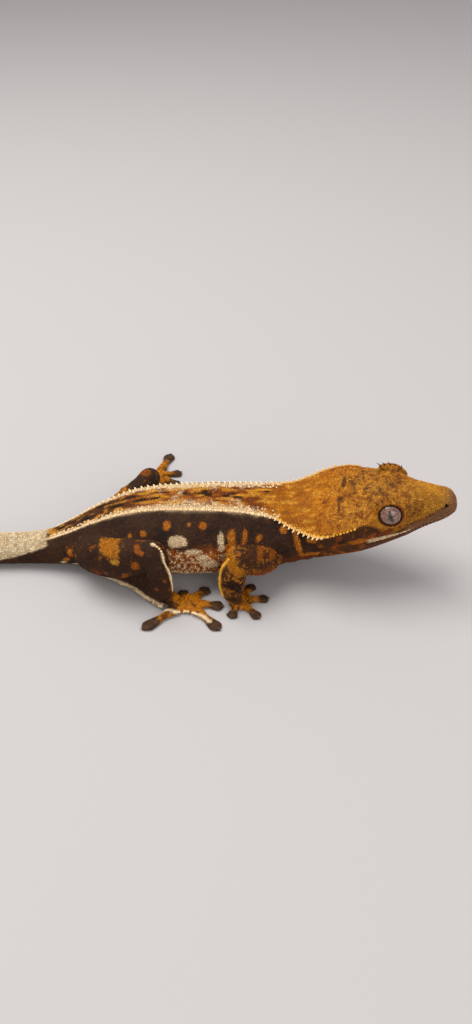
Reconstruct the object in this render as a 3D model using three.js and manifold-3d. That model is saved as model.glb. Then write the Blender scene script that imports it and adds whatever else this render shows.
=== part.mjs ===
// Crested gecko, a still life-size model that rests on its feet and tail.
// Millimetres. +X runs towards the snout, +Y to the animal's left, +Z up, floor at z = 0.
import * as THREE from 'three';
import { mergeVertices } from 'three/addons/utils/BufferGeometryUtils.js';
import Module from 'manifold-3d';

const wasm = await Module();
wasm.setup();

// Gap kept between pieces that meet
const seam = 0.3;

// Centre line of the animal, by distance behind the tip of the snout
const spine = [
  // along, x, y, z
  [0, 55.1, -7.0, 26.3],
  [12, 43.9, -4.6, 22.8],
  [24, 32.7, -2.2, 19.3],
  [36, 21.4, 0.2, 15.8],
  [44, 13.7, 0.9, 13.9],
  [52, 5.8, 0.9, 13.0],
  [68, -10.1, 0.5, 12.2],
  [84, -26.0, 0.4, 11.3],
  [94, -35.9, 0.5, 9.4],
  [101, -42.7, 0.6, 7.2],
  [108, -49.4, 0.8, 5.0],
  [115, -56.3, 0.9, 4.1],
  [126, -67.3, 0.8, 4.1],
  [150, -90.9, 3.8, 3.5],
  [175, -114.0, 13.0, 2.5],
  [200, -134.5, 27.0, 1.3],
];
const tailEnd = 200;

// Roll of the cross-section in degrees: the head tips a little towards its right side
const rollTable = [[0, 10], [34, 10], [48, 4], [64, 0], [tailEnd, 0]];

// Cross-section sizes: half-width, height above and below the centre line,
// and the place of the crest edge out from and up from the centre line
const sections = [
  [0, 1.3, 1.2, 1.3, 0.8, 0.8],
  [0.6, 2.5, 2.4, 2.6, 1.6, 1.8],
  [1.8, 3.4, 3.5, 3.7, 2.2, 2.7],
  [4, 4.1, 4.6, 4.7, 2.7, 3.5],
  [7, 4.9, 5.8, 5.6, 3.3, 4.6],
  [10.5, 6.1, 6.8, 6.9, 4.4, 5.8],
  [13, 7.2, 7.6, 7.7, 5.8, 6.8],
  [15.5, 8.0, 8.3, 8.3, 6.8, 7.4],
  [19.5, 9.2, 8.3, 9.2, 9.2, 5.8],
  [23, 10.1, 8.0, 9.9, 10.7, 5.4],
  [27, 10.5, 7.8, 10.8, 12.2, 5.3],
  [30, 10.5, 7.6, 11.2, 12.6, 5.0],
  [33.5, 10.5, 7.2, 11.6, 12.2, 4.6],
  [37, 10.5, 7.0, 11.7, 10.8, 4.4],
  [41, 10.8, 7.2, 11.7, 9.0, 5.0],
  [47, 11.9, 8.4, 11.7, 7.0, 7.1],
  [52, 13.0, 9.2, 11.8, 6.4, 8.2],
  [68, 15.2, 10.1, 11.2, 5.8, 9.5],
  [84, 14.2, 9.3, 10.2, 5.4, 8.8],
  [94, 10.8, 7.1, 8.2, 4.4, 6.5],
  [101, 7.8, 5.5, 6.6, 3.5, 4.9],
  [108, 5.7, 4.6, 4.9, 2.8, 4.0],
  [115, 4.9, 4.4, 4.2, 2.9, 3.4],
  [126, 4.8, 4.4, 4.2, 2.9, 3.3],
  [150, 4.0, 3.6, 3.6, 2.5, 2.7],
  [175, 2.8, 2.4, 2.6, 1.8, 1.8],
  [194, 2.0, 1.3, 1.4, 1.2, 0.9],
  [199, 1.3, 0.9, 1.3, 0.8, 0.6],
  [tailEnd, 0.5, 0.4, 0.6, 0.3, 0.3],
];
const bodySides = 24;
const crestAngle = 50;

// Where the body is parted, by distance behind the tip of the snout
const cuts = { head: 34.5, neck: 46.5, torso: 106, tail_base: 136, tail_middle: 168 };

// Eye, in the head's own directions: behind the snout, out and up
const eye = { behind: 15.5, out: 6.2, up: 4.7, radius: 3.25, turnForward: 12, turnUp: 18 };
const eyeRim = { out: 1.35, radius: 3.2, thick: 0.5 };
const lashes = { count: 5, length: 1.6, radius: 0.32, from: -50, to: 40 };

// Mouth, nostril and ear, in the head's own directions
const mouth = { up: -2.7, corner: 22.6, groove: 0.5, depth: 0.8, lip: 0.95, lipOut: 0.25 };
const nostril = { behind: 2.2, out: 3.0, up: 1.2, radius: 0.5 };
const ear = { behind: 28.5, out: 10.2, up: 0.2, long: 1.5, high: 0.9 };

// Crest spines: by distance, spacing and length
const crestSpines = [
  { from: 20.5, to: 33.8, spacing: 1.5, length: 0.9 },
  { from: 35.2, to: 45.8, spacing: 1.45, length: 1.15 },
  { from: 47.4, to: 102, spacing: 2.15, length: 0.8 },
];

const crestSpineRadius = 0.45;

// Limbs: centre line and radius from the root in the body to the wrist or ankle
const limbs = {
  right_front: {
    bones: [
      [9.6, -4.0, 8.4, 3.8], [8.2, -9.2, 9.6, 3.8], [4.9, -13.0, 11.6, 4.0], [0.5, -15.4, 14.2, 3.4],
      [-0.5, -16.4, 11.4, 3.5], [-1.0, -16.9, 7.5, 3.4], [-0.8, -16.8, 3.9, 2.8], [0.1, -17.0, 1.4, 1.9],
    ],
    joint: 3, names: ['upper_arm_right', 'forearm_right', 'hand_right'], size: 1,
    palm: [0.9, -17.0], toes: [[4.6, -10.2], [8.6, -15.4], [6.0, -22.7], [-1.4, -22.7], [-2.6, -11.6]],
  },
  left_front: {
    bones: [
      [9.6, 5.6, 8.0, 3.8], [7.4, 10.8, 8.6, 3.6], [3.4, 15.4, 9.4, 3.2], [0.4, 17.6, 9.0, 2.9],
      [0.8, 18.4, 7.0, 2.9], [3.0, 19.2, 4.6, 2.7], [6.2, 19.8, 2.6, 2.3], [7.6, 20.0, 1.3, 1.7],
    ],
    joint: 3, names: ['upper_arm_left', 'forearm_left', 'hand_left'], size: 1,
    palm: [8.4, 20.4], toes: [[13.2, 15.2], [17.0, 18.8], [16.2, 25.4], [10.2, 29.2], [3.6, 26.8]],
  },
  right_hind: {
    bones: [
      [-40.5, -2.0, 7.6, 4.2], [-36.8, -7.6, 9.4, 5.2], [-29.5, -12.3, 11.6, 5.2], [-20.8, -15.6, 15.8, 3.5],
      [-19.6, -16.8, 12.2, 3.2], [-19.0, -17.2, 7.4, 2.9], [-17.8, -17.2, 3.2, 2.4], [-15.6, -17.6, 1.6, 1.8],
    ],
    joint: 3, names: ['thigh_right', 'shin_right', 'foot_right'], size: 1.15,
    palm: [-12.4, -17.7], toes: [[-14.4, -12.6], [-7.3, -11.5], [-3.2, -18.3], [-4.0, -26.8], [-23.7, -26.6]],
    web: [[-39.0, -7.4, 3.0], [-34.0, -9.4, 2.3], [-27.4, -13.2, 2.0], [-22.4, -17.4, 1.7], [-18.8, -19.8, 1.2]],
  },
  left_hind: {
    bones: [
      [-40.5, 3.0, 6.6, 4.0], [-37.0, 7.8, 7.0, 4.2], [-31.4, 12.8, 9.6, 3.9], [-25.9, 17.6, 12.8, 3.2],
      [-24.9, 22.4, 11.8, 3.0], [-25.0, 28.4, 7.4, 2.6], [-25.6, 33.6, 3.2, 2.1], [-25.2, 36.0, 1.6, 1.7],
    ],
    joint: 3, names: ['thigh_left', 'shin_left', 'foot_left'], size: 1.15,
    palm: [-24.3, 38.2], toes: [[-22.0, 31.8], [-17.2, 34.4], [-16.9, 41.2], [-20.8, 51.4], [-35.2, 30.6]],
    web: [[-39.2, 8.6, 3.2], [-37.2, 13.4, 3.4], [-33.4, 20.0, 3.2], [-28.8, 27.2, 2.6]],
  },
};
const limbSides = 10;
const webThickness = 1.0;
const palmSize = { wide: 3.0, high: 1.6, up: 0.9 };
const toeSize = { root: 1.45, waist: 1.0, pad: 1.68, padHigh: 0.66, sides: 8 };
const claw = { length: 0.9, radius: 0.28 };
const spur = { along: 107.5, out: 5.0, up: -1.6, radius: 1.1 };

// Colours of the pieces
const finishes = {
  skin: { color: 0xb98243, roughness: 0.75, metalness: 0 },
  dark: { color: 0x46342a, roughness: 0.75, metalness: 0 },
  cream: { color: 0xd9c29c, roughness: 0.75, metalness: 0 },
  eye: { color: 0x8d7d80, roughness: 0.1, metalness: 0 },
};

// Values of a table at a distance, on a smooth curve through its rows
function blend(table, at) {
  let row = 0;
  while (row < table.length - 2 && at > table[row + 1][0]) row += 1;
  const slope = (i, k) => (table[i + 1][k] - table[i][k]) / (table[i + 1][0] - table[i][0]);
  const lean = (i, k) => {
    if (i === 0) return slope(0, k);
    if (i === table.length - 1) return slope(i - 1, k);
    const before = table[i][0] - table[i - 1][0];
    const after = table[i + 1][0] - table[i][0];
    return (slope(i - 1, k) * after + slope(i, k) * before) / (before + after);
  };
  const span = table[row + 1][0] - table[row][0];
  const t = THREE.MathUtils.clamp((at - table[row][0]) / span, 0, 1);
  const values = [];
  for (let k = 1; k < table[0].length; k += 1) {
    const start = table[row][k];
    const end = table[row + 1][k];
    const a = lean(row, k) * span;
    const b = lean(row + 1, k) * span;
    values.push(start + a * t + (3 * (end - start) - 2 * a - b) * t ** 2 + (2 * (start - end) + a + b) * t ** 3);
  }
  return values;
}

// Place and directions of the cross-section at a distance behind the snout
function frameAt(along) {
  const centre = new THREE.Vector3(...blend(spine, along));
  const ahead = new THREE.Vector3(...blend(spine, Math.max(along - 0.5, 0)));
  const behind = new THREE.Vector3(...blend(spine, Math.min(along + 0.5, tailEnd)));
  const forward = ahead.sub(behind).normalize();
  const left = new THREE.Vector3(0, 0, 1).cross(forward).normalize();
  const up = forward.clone().cross(left);
  const roll = THREE.MathUtils.degToRad(blend(rollTable, along)[0]);
  left.applyAxisAngle(forward, roll);
  up.applyAxisAngle(forward, roll);
  return { centre, forward, left, up };
}

function placeIn(frame, behind, out, up) {
  return frame.centre.clone()
    .addScaledVector(frame.forward, -behind)
    .addScaledVector(frame.left, out)
    .addScaledVector(frame.up, up);
}

// Half of the cross-section from the belly (0) over the crest edge to the back (1)
function halfSection(along, part, extra) {
  const [half, above, below, crestOut, crestUp] = blend(sections, along).map((value) => value + extra);
  const edge = 0.75;
  const edgeAngle = THREE.MathUtils.degToRad(crestAngle);
  if (part >= edge) {
    const q = (part - edge) / (1 - edge);
    return [crestOut * (1 - q), crestUp + (above - crestUp) * (1 - (1 - q) ** 2)];
  }
  const share = part / edge;
  const angle = -Math.PI / 2 + share * (edgeAngle + Math.PI / 2);
  const flare = along < cuts.neck ? 4 : 3;
  const pull = share ** flare;
  const out = half * Math.cos(angle) + pull * (crestOut - half * Math.cos(edgeAngle));
  const up = (angle < 0 ? below : above) * Math.sin(angle) + pull * (crestUp - above * Math.sin(edgeAngle));
  return [out, up];
}

// Closed surface through rings of points, each ring given by its frame and outline
function surfaceThrough(rings, sides) {
  const geometry = new THREE.CylinderGeometry(1, 1, 1, sides, rings.length - 1);
  const position = geometry.attributes.position;
  for (let i = 0; i < position.count; i += 1) {
    const ring = rings[Math.round((0.5 - position.getY(i)) * (rings.length - 1))];
    const x = position.getX(i);
    const z = position.getZ(i);
    const turn = (Math.atan2(x, z) / (2 * Math.PI) + 1) % 1;
    const [out, up] = Math.hypot(x, z) < 0.5 ? [0, 0] : ring.outline(Math.round(turn * sides) / sides);
    const point = placeIn(ring.frame, 0, out, up);
    position.setXYZ(i, point.x, point.y, point.z);
  }
  return solidOf(geometry);
}

function solidOf(geometry) {
  geometry.deleteAttribute('normal');
  geometry.deleteAttribute('uv');
  const merged = mergeVertices(geometry, 1e-4);
  return new wasm.Manifold(new wasm.Mesh({
    numProp: 3,
    vertProperties: new Float32Array(merged.attributes.position.array),
    triVerts: new Uint32Array(merged.index.array),
  }));
}

// Body from the snout to the end of the tail, or a stretch of it, grown by an extra thickness
function bodyStretch(from, to, extra, spacing) {
  const rings = [];
  const steps = Math.max(2, Math.ceil((to - from) / spacing));
  for (let i = 0; i <= steps; i += 1) {
    const along = from + (to - from) * (i / steps);
    rings.push({
      frame: frameAt(along),
      outline: (turn) => {
        const part = turn <= 0.5 ? turn * 2 : (1 - turn) * 2;
        const [out, up] = halfSection(along, part, extra);
        return [turn <= 0.5 ? out : -out, up];
      },
    });
  }
  return rings;
}

function bodySolid() {
  const rings = [
    ...bodyStretch(0, 1.8, 0, 0.6).slice(0, -1),
    ...bodyStretch(1.8, 48, 0, 1.7).slice(0, -1),
    ...bodyStretch(48, 112, 0, 2.7).slice(0, -1),
    ...bodyStretch(112, 194, 0, 6).slice(0, -1),
    ...bodyStretch(194, tailEnd, 0, 1.5),
  ];
  return surfaceThrough(rings, bodySides);
}

// Everything on the floor side of a level is cut away, which leaves flat soles
function aboveFloor(solid) {
  const block = new THREE.BoxGeometry(400, 400, 100).translate(0, 0, 50);
  return solid.intersect(solidOf(block));
}

// Half of space beyond a plane, as a large block that starts half a seam away from it
function beyond(point, normal) {
  const block = new THREE.BoxGeometry(300, 300, 300).translate(0, 0, 150 + seam / 2);
  const turn = new THREE.Quaternion().setFromUnitVectors(new THREE.Vector3(0, 0, 1), normal.clone().normalize());
  return solidOf(block.applyQuaternion(turn).translate(point.x, point.y, point.z));
}

function largest(solid) {
  const pieces = solid.decompose();
  return pieces.reduce((best, piece) => (piece.volume() > best.volume() ? piece : best));
}

// A tapered cone with its root sunk below the surface point
function spike(point, direction, length, radius) {
  const cone = new THREE.ConeGeometry(radius, length * 1.6, 4).translate(0, length * 0.2, 0);
  const turn = new THREE.Quaternion().setFromUnitVectors(new THREE.Vector3(0, 1, 0), direction.clone().normalize());
  return solidOf(cone.applyQuaternion(turn).translate(point.x, point.y, point.z));
}

// Spines along both crest edges, with lengths varied by a fixed rhythm
function addCrestSpines(solid) {
  const rhythm = [1, 0.78, 1.12, 0.7, 0.95, 0.84];
  let result = solid;
  let index = 0;
  for (const row of crestSpines) {
    for (let along = row.from; along < row.to; along += row.spacing) {
      for (const side of [1, -1]) {
        const frame = frameAt(along);
        const [, , , crestOut, crestUp] = blend(sections, along);
        const length = row.length * rhythm[index % rhythm.length];
        const point = placeIn(frame, 0, side * (crestOut - 0.1), crestUp);
        const direction = frame.left.clone().multiplyScalar(side)
          .addScaledVector(frame.up, 0.35)
          .addScaledVector(frame.forward, -0.25);
        result = result.add(spike(point, direction, length, crestSpineRadius));
        index += 1;
      }
    }
  }
  return result;
}

const headFrame = frameAt(0);

function eyeAxis(side) {
  const turn = THREE.MathUtils.degToRad(eye.turnForward);
  const lift = THREE.MathUtils.degToRad(eye.turnUp);
  return headFrame.left.clone().multiplyScalar(side * Math.cos(turn) * Math.cos(lift))
    .addScaledVector(headFrame.forward, Math.sin(turn) * Math.cos(lift))
    .addScaledVector(headFrame.up, Math.sin(lift));
}

function eyeBall(side, extra) {
  const ball = new THREE.SphereGeometry(eye.radius + extra, 16, 10);
  const turn = new THREE.Quaternion().setFromUnitVectors(new THREE.Vector3(0, 1, 0), eyeAxis(side));
  const centre = placeIn(headFrame, eye.behind, side * eye.out, eye.up);
  return solidOf(ball.applyQuaternion(turn).translate(centre.x, centre.y, centre.z));
}

// Ring of scales round the eye, and the row of long lash scales over it
function eyeSurround(side) {
  const axis = eyeAxis(side);
  const centre = placeIn(headFrame, eye.behind, side * eye.out, eye.up).addScaledVector(axis, eyeRim.out);
  const turn = new THREE.Quaternion().setFromUnitVectors(new THREE.Vector3(0, 0, 1), axis);
  const ring = new THREE.TorusGeometry(eyeRim.radius, eyeRim.thick, 5, 18).applyQuaternion(turn);
  let solid = solidOf(ring.translate(centre.x, centre.y, centre.z));
  const upward = headFrame.up.clone().addScaledVector(axis, -headFrame.up.dot(axis)).normalize();
  const ahead = upward.clone().cross(axis).multiplyScalar(side).normalize();
  for (let i = 0; i < lashes.count; i += 1) {
    const angle = THREE.MathUtils.degToRad(lashes.from + (lashes.to - lashes.from) * (i / (lashes.count - 1)));
    const away = upward.clone().multiplyScalar(Math.cos(angle)).addScaledVector(ahead, Math.sin(angle));
    const root = centre.clone().addScaledVector(away, eyeRim.radius + 0.2);
    const lean = away.clone().addScaledVector(axis, 0.55);
    solid = solid.add(spike(root, lean, lashes.length, lashes.radius));
  }
  return solid;
}

// Band about the mouth line, from ahead of the snout back to the corner of the mouth
function mouthBand(thickness) {
  const length = mouth.corner + 6;
  const band = new THREE.BoxGeometry(length, 30, thickness);
  const middle = placeIn(headFrame, mouth.corner - length / 2, 0, mouth.up);
  const basis = new THREE.Matrix4().makeBasis(headFrame.forward, headFrame.left, headFrame.up).setPosition(middle);
  return solidOf(band.applyMatrix4(basis));
}

function headDetails(solid) {
  const inner = surfaceThrough(bodyStretch(mouth.depth, cuts.head, -mouth.depth, 5), bodySides);
  const lipsOuter = surfaceThrough(bodyStretch(0.3, cuts.head - 2, mouth.lipOut, 4), bodySides);
  let result = solid.add(lipsOuter.intersect(mouthBand(mouth.lip * 2)));
  result = result.subtract(mouthBand(mouth.groove).subtract(inner));
  for (const side of [1, -1]) {
    result = result.subtract(eyeBall(side, seam)).add(eyeSurround(side).subtract(eyeBall(side, seam)));
    const nose = placeIn(headFrame, nostril.behind, side * nostril.out, nostril.up);
    const hole = new THREE.SphereGeometry(nostril.radius, 8, 6).translate(nose.x, nose.y, nose.z);
    result = result.subtract(solidOf(hole));
    const place = placeIn(headFrame, ear.behind, side * ear.out, ear.up);
    const cup = new THREE.SphereGeometry(1, 10, 8).scale(ear.long, 1.6, ear.high);
    const turned = new THREE.Matrix4().makeBasis(headFrame.forward, headFrame.left, headFrame.up).setPosition(place);
    result = result.subtract(solidOf(cup.applyMatrix4(turned)));
  }
  return result;
}

// Tube along a limb's centre line; each station gives place and radius
function tubeAlong(stations, sides, steps, hint) {
  const table = stations.map((station, i) => [i, ...station]);
  const rings = [];
  const last = stations.length - 1;
  const at = (u) => new THREE.Vector3(...blend(table, u).slice(0, 3));
  for (let i = 0; i <= steps; i += 1) {
    const u = (i / steps) * last;
    const forward = at(Math.max(u - 0.05, 0)).sub(at(Math.min(u + 0.05, last))).normalize();
    const left = hint.clone().cross(forward).normalize();
    const up = forward.clone().cross(left);
    const radius = blend(table, u)[3];
    rings.push({
      frame: { centre: at(u), forward, left, up },
      outline: (turn) => {
        const angle = turn * 2 * Math.PI;
        return [radius * Math.sin(angle), -radius * Math.cos(angle)];
      },
    });
  }
  return surfaceThrough(rings, sides);
}

// A leg bends sharply at its elbow or knee, so each half is a tube of its own and a ball fills the bend
function limbSolid(limb) {
  const [x, y, z, radius] = limb.bones[limb.joint];
  const ball = solidOf(new THREE.SphereGeometry(radius, 10, 5).translate(x, y, z));
  const upper = tubeAlong(limb.bones.slice(0, limb.joint + 1), limbSides, 4, new THREE.Vector3(0, 0, 1));
  const lower = tubeAlong(limb.bones.slice(limb.joint), limbSides, 5, new THREE.Vector3(1, 0, 0));
  return upper.add(lower).add(ball);
}

// Toe from the palm to its tip, with a broad sticky pad and a small claw
function toeSolid(limb, tip, extra) {
  const [palmX, palmY] = limb.palm;
  const reach = new THREE.Vector3(tip[0] - palmX, tip[1] - palmY, 0);
  const forward = reach.clone().normalize().negate();
  const left = new THREE.Vector3(0, 0, 1).cross(forward);
  const up = new THREE.Vector3(0, 0, 1);
  const shape = [
    // share of the toe, half-width, half-height, height of the middle
    [0, toeSize.root, 1.0, palmSize.up],
    [0.34, toeSize.root * 0.94, 0.95, 0.95],
    [0.56, toeSize.waist, 0.8, 0.85],
    [0.74, toeSize.pad * 0.86, toeSize.padHigh, 0.55],
    [0.87, toeSize.pad, toeSize.padHigh, 0.5],
    [1, toeSize.pad * 0.55, toeSize.padHigh * 0.6, 0.4],
  ];
  const rings = shape.map(([share, wide, high, middle]) => ({
    frame: { centre: new THREE.Vector3(palmX + reach.x * share, palmY + reach.y * share, middle), forward, left, up },
    outline: (turn) => {
      const angle = turn * 2 * Math.PI;
      return [(wide * limb.size + extra) * Math.sin(angle), -(high + extra) * Math.cos(angle)];
    },
  }));
  const root = new THREE.Vector3(tip[0], tip[1], 0.85).addScaledVector(forward, 0.6);
  const point = forward.clone().negate().addScaledVector(up, -0.25);
  return surfaceThrough(rings, toeSize.sides).add(spike(root, point, claw.length, claw.radius + extra));
}

function footSolid(limb, extra) {
  const wide = palmSize.wide * limb.size + extra;
  const palm = new THREE.SphereGeometry(1, 12, 8)
    .scale(wide, wide, palmSize.high + extra)
    .translate(limb.palm[0], limb.palm[1], palmSize.up);
  let foot = solidOf(palm);
  for (const tip of limb.toes) foot = foot.add(toeSolid(limb, tip, extra));
  return foot;
}

// Fold of skin behind the thigh and shin, down to a fringe near the floor
function webSolid(limb) {
  const steps = 8;
  const box = new THREE.BoxGeometry(1, 1, 1, steps, 3, 1);
  const top = limb.bones.slice(1, limb.web.length + 1).map((bone, i, all) => [i / (all.length - 1), ...bone]);
  const low = limb.web.map((point, i) => [i / (limb.web.length - 1), ...point]);
  const position = box.attributes.position;
  for (let i = 0; i < position.count; i += 1) {
    const u = position.getX(i) + 0.5;
    const v = 0.5 - position.getY(i);
    const above = new THREE.Vector3(...blend(top, u).slice(0, 3));
    const below = new THREE.Vector3(...blend(low, u));
    const point = above.lerp(below, v);
    const across = new THREE.Vector3(0.45, 0.9 * Math.sign(limb.palm[1]), 0).normalize();
    point.addScaledVector(across, position.getZ(i) * webThickness * (1 - 0.25 * v));
    position.setXYZ(i, point.x, point.y, point.z);
  }
  const web = solidOf(box);
  return web.volume() > 0 ? web : solidOf(flipped(box));
}

function flipped(geometry) {
  const index = geometry.index.array;
  for (let i = 0; i < index.length; i += 3) [index[i], index[i + 1]] = [index[i + 1], index[i]];
  return geometry;
}

function limbPieces(limb, torsoGrown) {
  const last = limb.bones.length - 1;
  let whole = limbSolid(limb);
  if (limb.web) whole = whole.add(webSolid(limb));
  whole = whole.subtract(torsoGrown).subtract(footSolid(limb, seam));
  const knee = new THREE.Vector3(...limb.bones[limb.joint]);
  const along = new THREE.Vector3(...limb.bones[last]).sub(new THREE.Vector3(...limb.bones[0])).normalize();
  const upper = whole.intersect(beyond(knee, along.clone().negate()));
  const lower = whole.intersect(beyond(knee, along));
  return [upper, lower, footSolid(limb, 0)].map((solid) => largest(aboveFloor(solid)));
}

function asMesh(name, solid, finish) {
  const mesh = solid.getMesh();
  const geometry = new THREE.BufferGeometry();
  geometry.setAttribute('position', new THREE.BufferAttribute(mesh.vertProperties, 3));
  geometry.setIndex(new THREE.BufferAttribute(mesh.triVerts, 1));
  geometry.computeVertexNormals();
  const result = new THREE.Mesh(geometry, new THREE.MeshStandardMaterial(finish));
  result.name = name;
  return result;
}

const gecko = new THREE.Group();

// Body parted by thin cuts across its centre line
const plainBody = bodySolid();
const order = Object.keys(cuts);
const spurs = [1, -1].map((side) => {
  const place = placeIn(frameAt(spur.along), 0, side * spur.out, spur.up);
  return solidOf(new THREE.SphereGeometry(spur.radius, 8, 6).translate(place.x, place.y, place.z));
});
const wholeBody = spurs.reduce((solid, bump) => solid.add(bump), headDetails(addCrestSpines(plainBody)));
let remaining = aboveFloor(wholeBody);
for (const name of order) {
  const frame = frameAt(cuts[name]);
  const piece = largest(remaining.intersect(beyond(frame.centre, frame.forward)));
  gecko.add(asMesh(name, piece, name.startsWith('tail') ? finishes.cream : finishes.skin));
  remaining = remaining.intersect(beyond(frame.centre, frame.forward.clone().negate()));
}
gecko.add(asMesh('tail_tip', largest(remaining), finishes.cream));

gecko.add(asMesh('eye_left', eyeBall(1, 0), finishes.eye));
gecko.add(asMesh('eye_right', eyeBall(-1, 0), finishes.eye));

const torsoGrown = surfaceThrough(bodyStretch(36, 125, seam, 2.3), bodySides);
for (const limb of Object.values(limbs)) {
  limbPieces(limb, torsoGrown).forEach((solid, i) => {
    gecko.add(asMesh(limb.names[i], solid, i === 2 ? finishes.dark : finishes.skin));
  });
}

// The origin is on the floor below the middle of the animal's outline
const outline = new THREE.Box3().setFromObject(gecko);
const middle = outline.getCenter(new THREE.Vector3());
gecko.position.set(-middle.x, -middle.y, 0);

export default gecko;
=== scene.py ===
# %% [markdown]
# # Crested gecko
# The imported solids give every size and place. This lesson dresses them: one skin of flesh,
# granular scales, crest spines, lash scales, eyes, claws, and then light and a camera.
# %% Load the frame
import math
import bpy
import numpy as np
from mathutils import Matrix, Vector, noise
from mathutils.bvhtree import BVHTree

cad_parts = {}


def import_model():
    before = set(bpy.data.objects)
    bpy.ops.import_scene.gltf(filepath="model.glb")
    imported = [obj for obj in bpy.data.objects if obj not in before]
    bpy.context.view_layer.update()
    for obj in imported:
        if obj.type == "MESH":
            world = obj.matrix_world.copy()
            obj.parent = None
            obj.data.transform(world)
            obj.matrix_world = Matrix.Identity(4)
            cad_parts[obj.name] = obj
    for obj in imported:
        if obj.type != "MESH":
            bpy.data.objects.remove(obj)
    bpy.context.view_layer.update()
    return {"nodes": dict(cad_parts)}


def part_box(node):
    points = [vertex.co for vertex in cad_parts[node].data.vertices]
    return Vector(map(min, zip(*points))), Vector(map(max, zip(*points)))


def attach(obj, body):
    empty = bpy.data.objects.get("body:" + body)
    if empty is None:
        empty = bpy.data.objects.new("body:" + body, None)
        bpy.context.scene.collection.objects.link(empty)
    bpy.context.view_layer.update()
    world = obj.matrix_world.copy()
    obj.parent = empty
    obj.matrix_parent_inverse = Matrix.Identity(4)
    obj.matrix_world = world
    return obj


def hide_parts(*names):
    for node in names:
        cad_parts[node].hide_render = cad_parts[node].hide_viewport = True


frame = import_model()
MM = 0.001
print("nodes", len(frame["nodes"]))

# %% [markdown]
# The animal is laid out along one centre line, from the tip of the snout to the end of the
# tail, as a modeller draws a spine first. A few rows give the line, the roll and the size of
# the cross-section, and a smooth curve through the rows gives every place between them.
# %% Sizes of the body, in millimetres
SPINE = np.array([
    # along, x, y, z
    (0, 55.1, -7.0, 26.3), (12, 43.9, -4.6, 22.8), (24, 32.7, -2.2, 19.3), (36, 21.4, 0.2, 15.8),
    (44, 13.7, 0.9, 13.9), (52, 5.8, 0.9, 13.0), (68, -10.1, 0.5, 12.2), (84, -26.0, 0.4, 11.3),
    (94, -35.9, 0.5, 9.4), (101, -42.7, 0.6, 7.2), (108, -49.4, 0.8, 5.0), (115, -56.3, 0.9, 4.1),
    (126, -67.3, 0.8, 4.1), (150, -90.9, 3.8, 3.5), (175, -114.0, 13.0, 2.5), (200, -134.5, 27.0, 1.3),
])
TAIL_END = 200.0
ROLL = np.array([(0, 10), (34, 10), (48, 4), (64, 0), (TAIL_END, 0)], float)
SECTIONS = np.array([
    # along, half-width, above, below, crest out, crest up
    (0, 1.3, 1.2, 1.3, 0.8, 0.8), (0.6, 2.5, 2.4, 2.6, 1.6, 1.8), (1.8, 3.4, 3.5, 3.7, 2.2, 2.7),
    (4, 4.1, 4.6, 4.7, 2.7, 3.5), (7, 4.9, 5.8, 5.6, 3.3, 4.6), (10.5, 6.1, 6.8, 6.9, 4.4, 5.8),
    (13, 7.2, 7.6, 7.7, 5.8, 6.8), (15.5, 8.0, 8.3, 8.3, 6.8, 7.4), (19.5, 9.2, 8.3, 9.2, 9.2, 5.8),
    (23, 10.1, 8.0, 9.9, 10.7, 5.4), (27, 10.5, 7.8, 10.8, 12.2, 5.3), (30, 10.5, 7.6, 11.2, 12.6, 5.0),
    (33.5, 10.5, 7.2, 11.6, 12.2, 4.6), (37, 10.5, 7.0, 11.7, 10.8, 4.4), (41, 10.8, 7.2, 11.7, 9.0, 5.0),
    (47, 11.9, 8.4, 11.7, 7.0, 7.1), (52, 13.0, 9.2, 11.8, 6.4, 8.2), (68, 15.2, 10.1, 11.2, 5.8, 9.5),
    (84, 14.2, 9.3, 10.2, 5.4, 8.8), (94, 10.8, 7.1, 8.2, 4.4, 6.5), (101, 7.8, 5.5, 6.6, 3.5, 4.9),
    (108, 5.7, 4.6, 4.9, 2.8, 4.0), (115, 4.9, 4.4, 4.2, 2.9, 3.4), (126, 4.8, 4.4, 4.2, 2.9, 3.3),
    (150, 4.0, 3.6, 3.6, 2.5, 2.7), (175, 2.8, 2.4, 2.6, 1.8, 1.8), (194, 2.0, 1.3, 1.4, 1.2, 0.9),
    (199, 1.3, 0.9, 1.3, 0.8, 0.6), (TAIL_END, 0.5, 0.4, 0.6, 0.3, 0.3),
])
CREST_ANGLE = math.radians(50)
CREST_SHARE = 0.75
NECK_END = 46.5
EYE_BEHIND, EYE_OUT, EYE_UP, EYE_RADIUS = 15.5, 6.2, 4.7, 3.25
EYE_TURN_FORWARD, EYE_TURN_UP = math.radians(12), math.radians(18)
RIM_OUT, RIM_RADIUS, RIM_THICK = 1.3, 3.2, 0.62
MOUTH_UP, MOUTH_CORNER = -2.7, 22.6
NOSTRIL = (2.2, 2.9, 1.3)
EAR_BEHIND, EAR_UP = 28.5, 0.4
HEAD_END = 36
# The mouth line needs finer faces as far back as this
MUZZLE_END = 24.5
# Height of the granular scales, by which the skin lies inside the solids
COAT = 0.16
# Size of the small cubes that weld the skin, and the lowest that its soles may lie
SKIN_VOXEL, SOLE_HEIGHT = 0.5, 0.02


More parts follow.
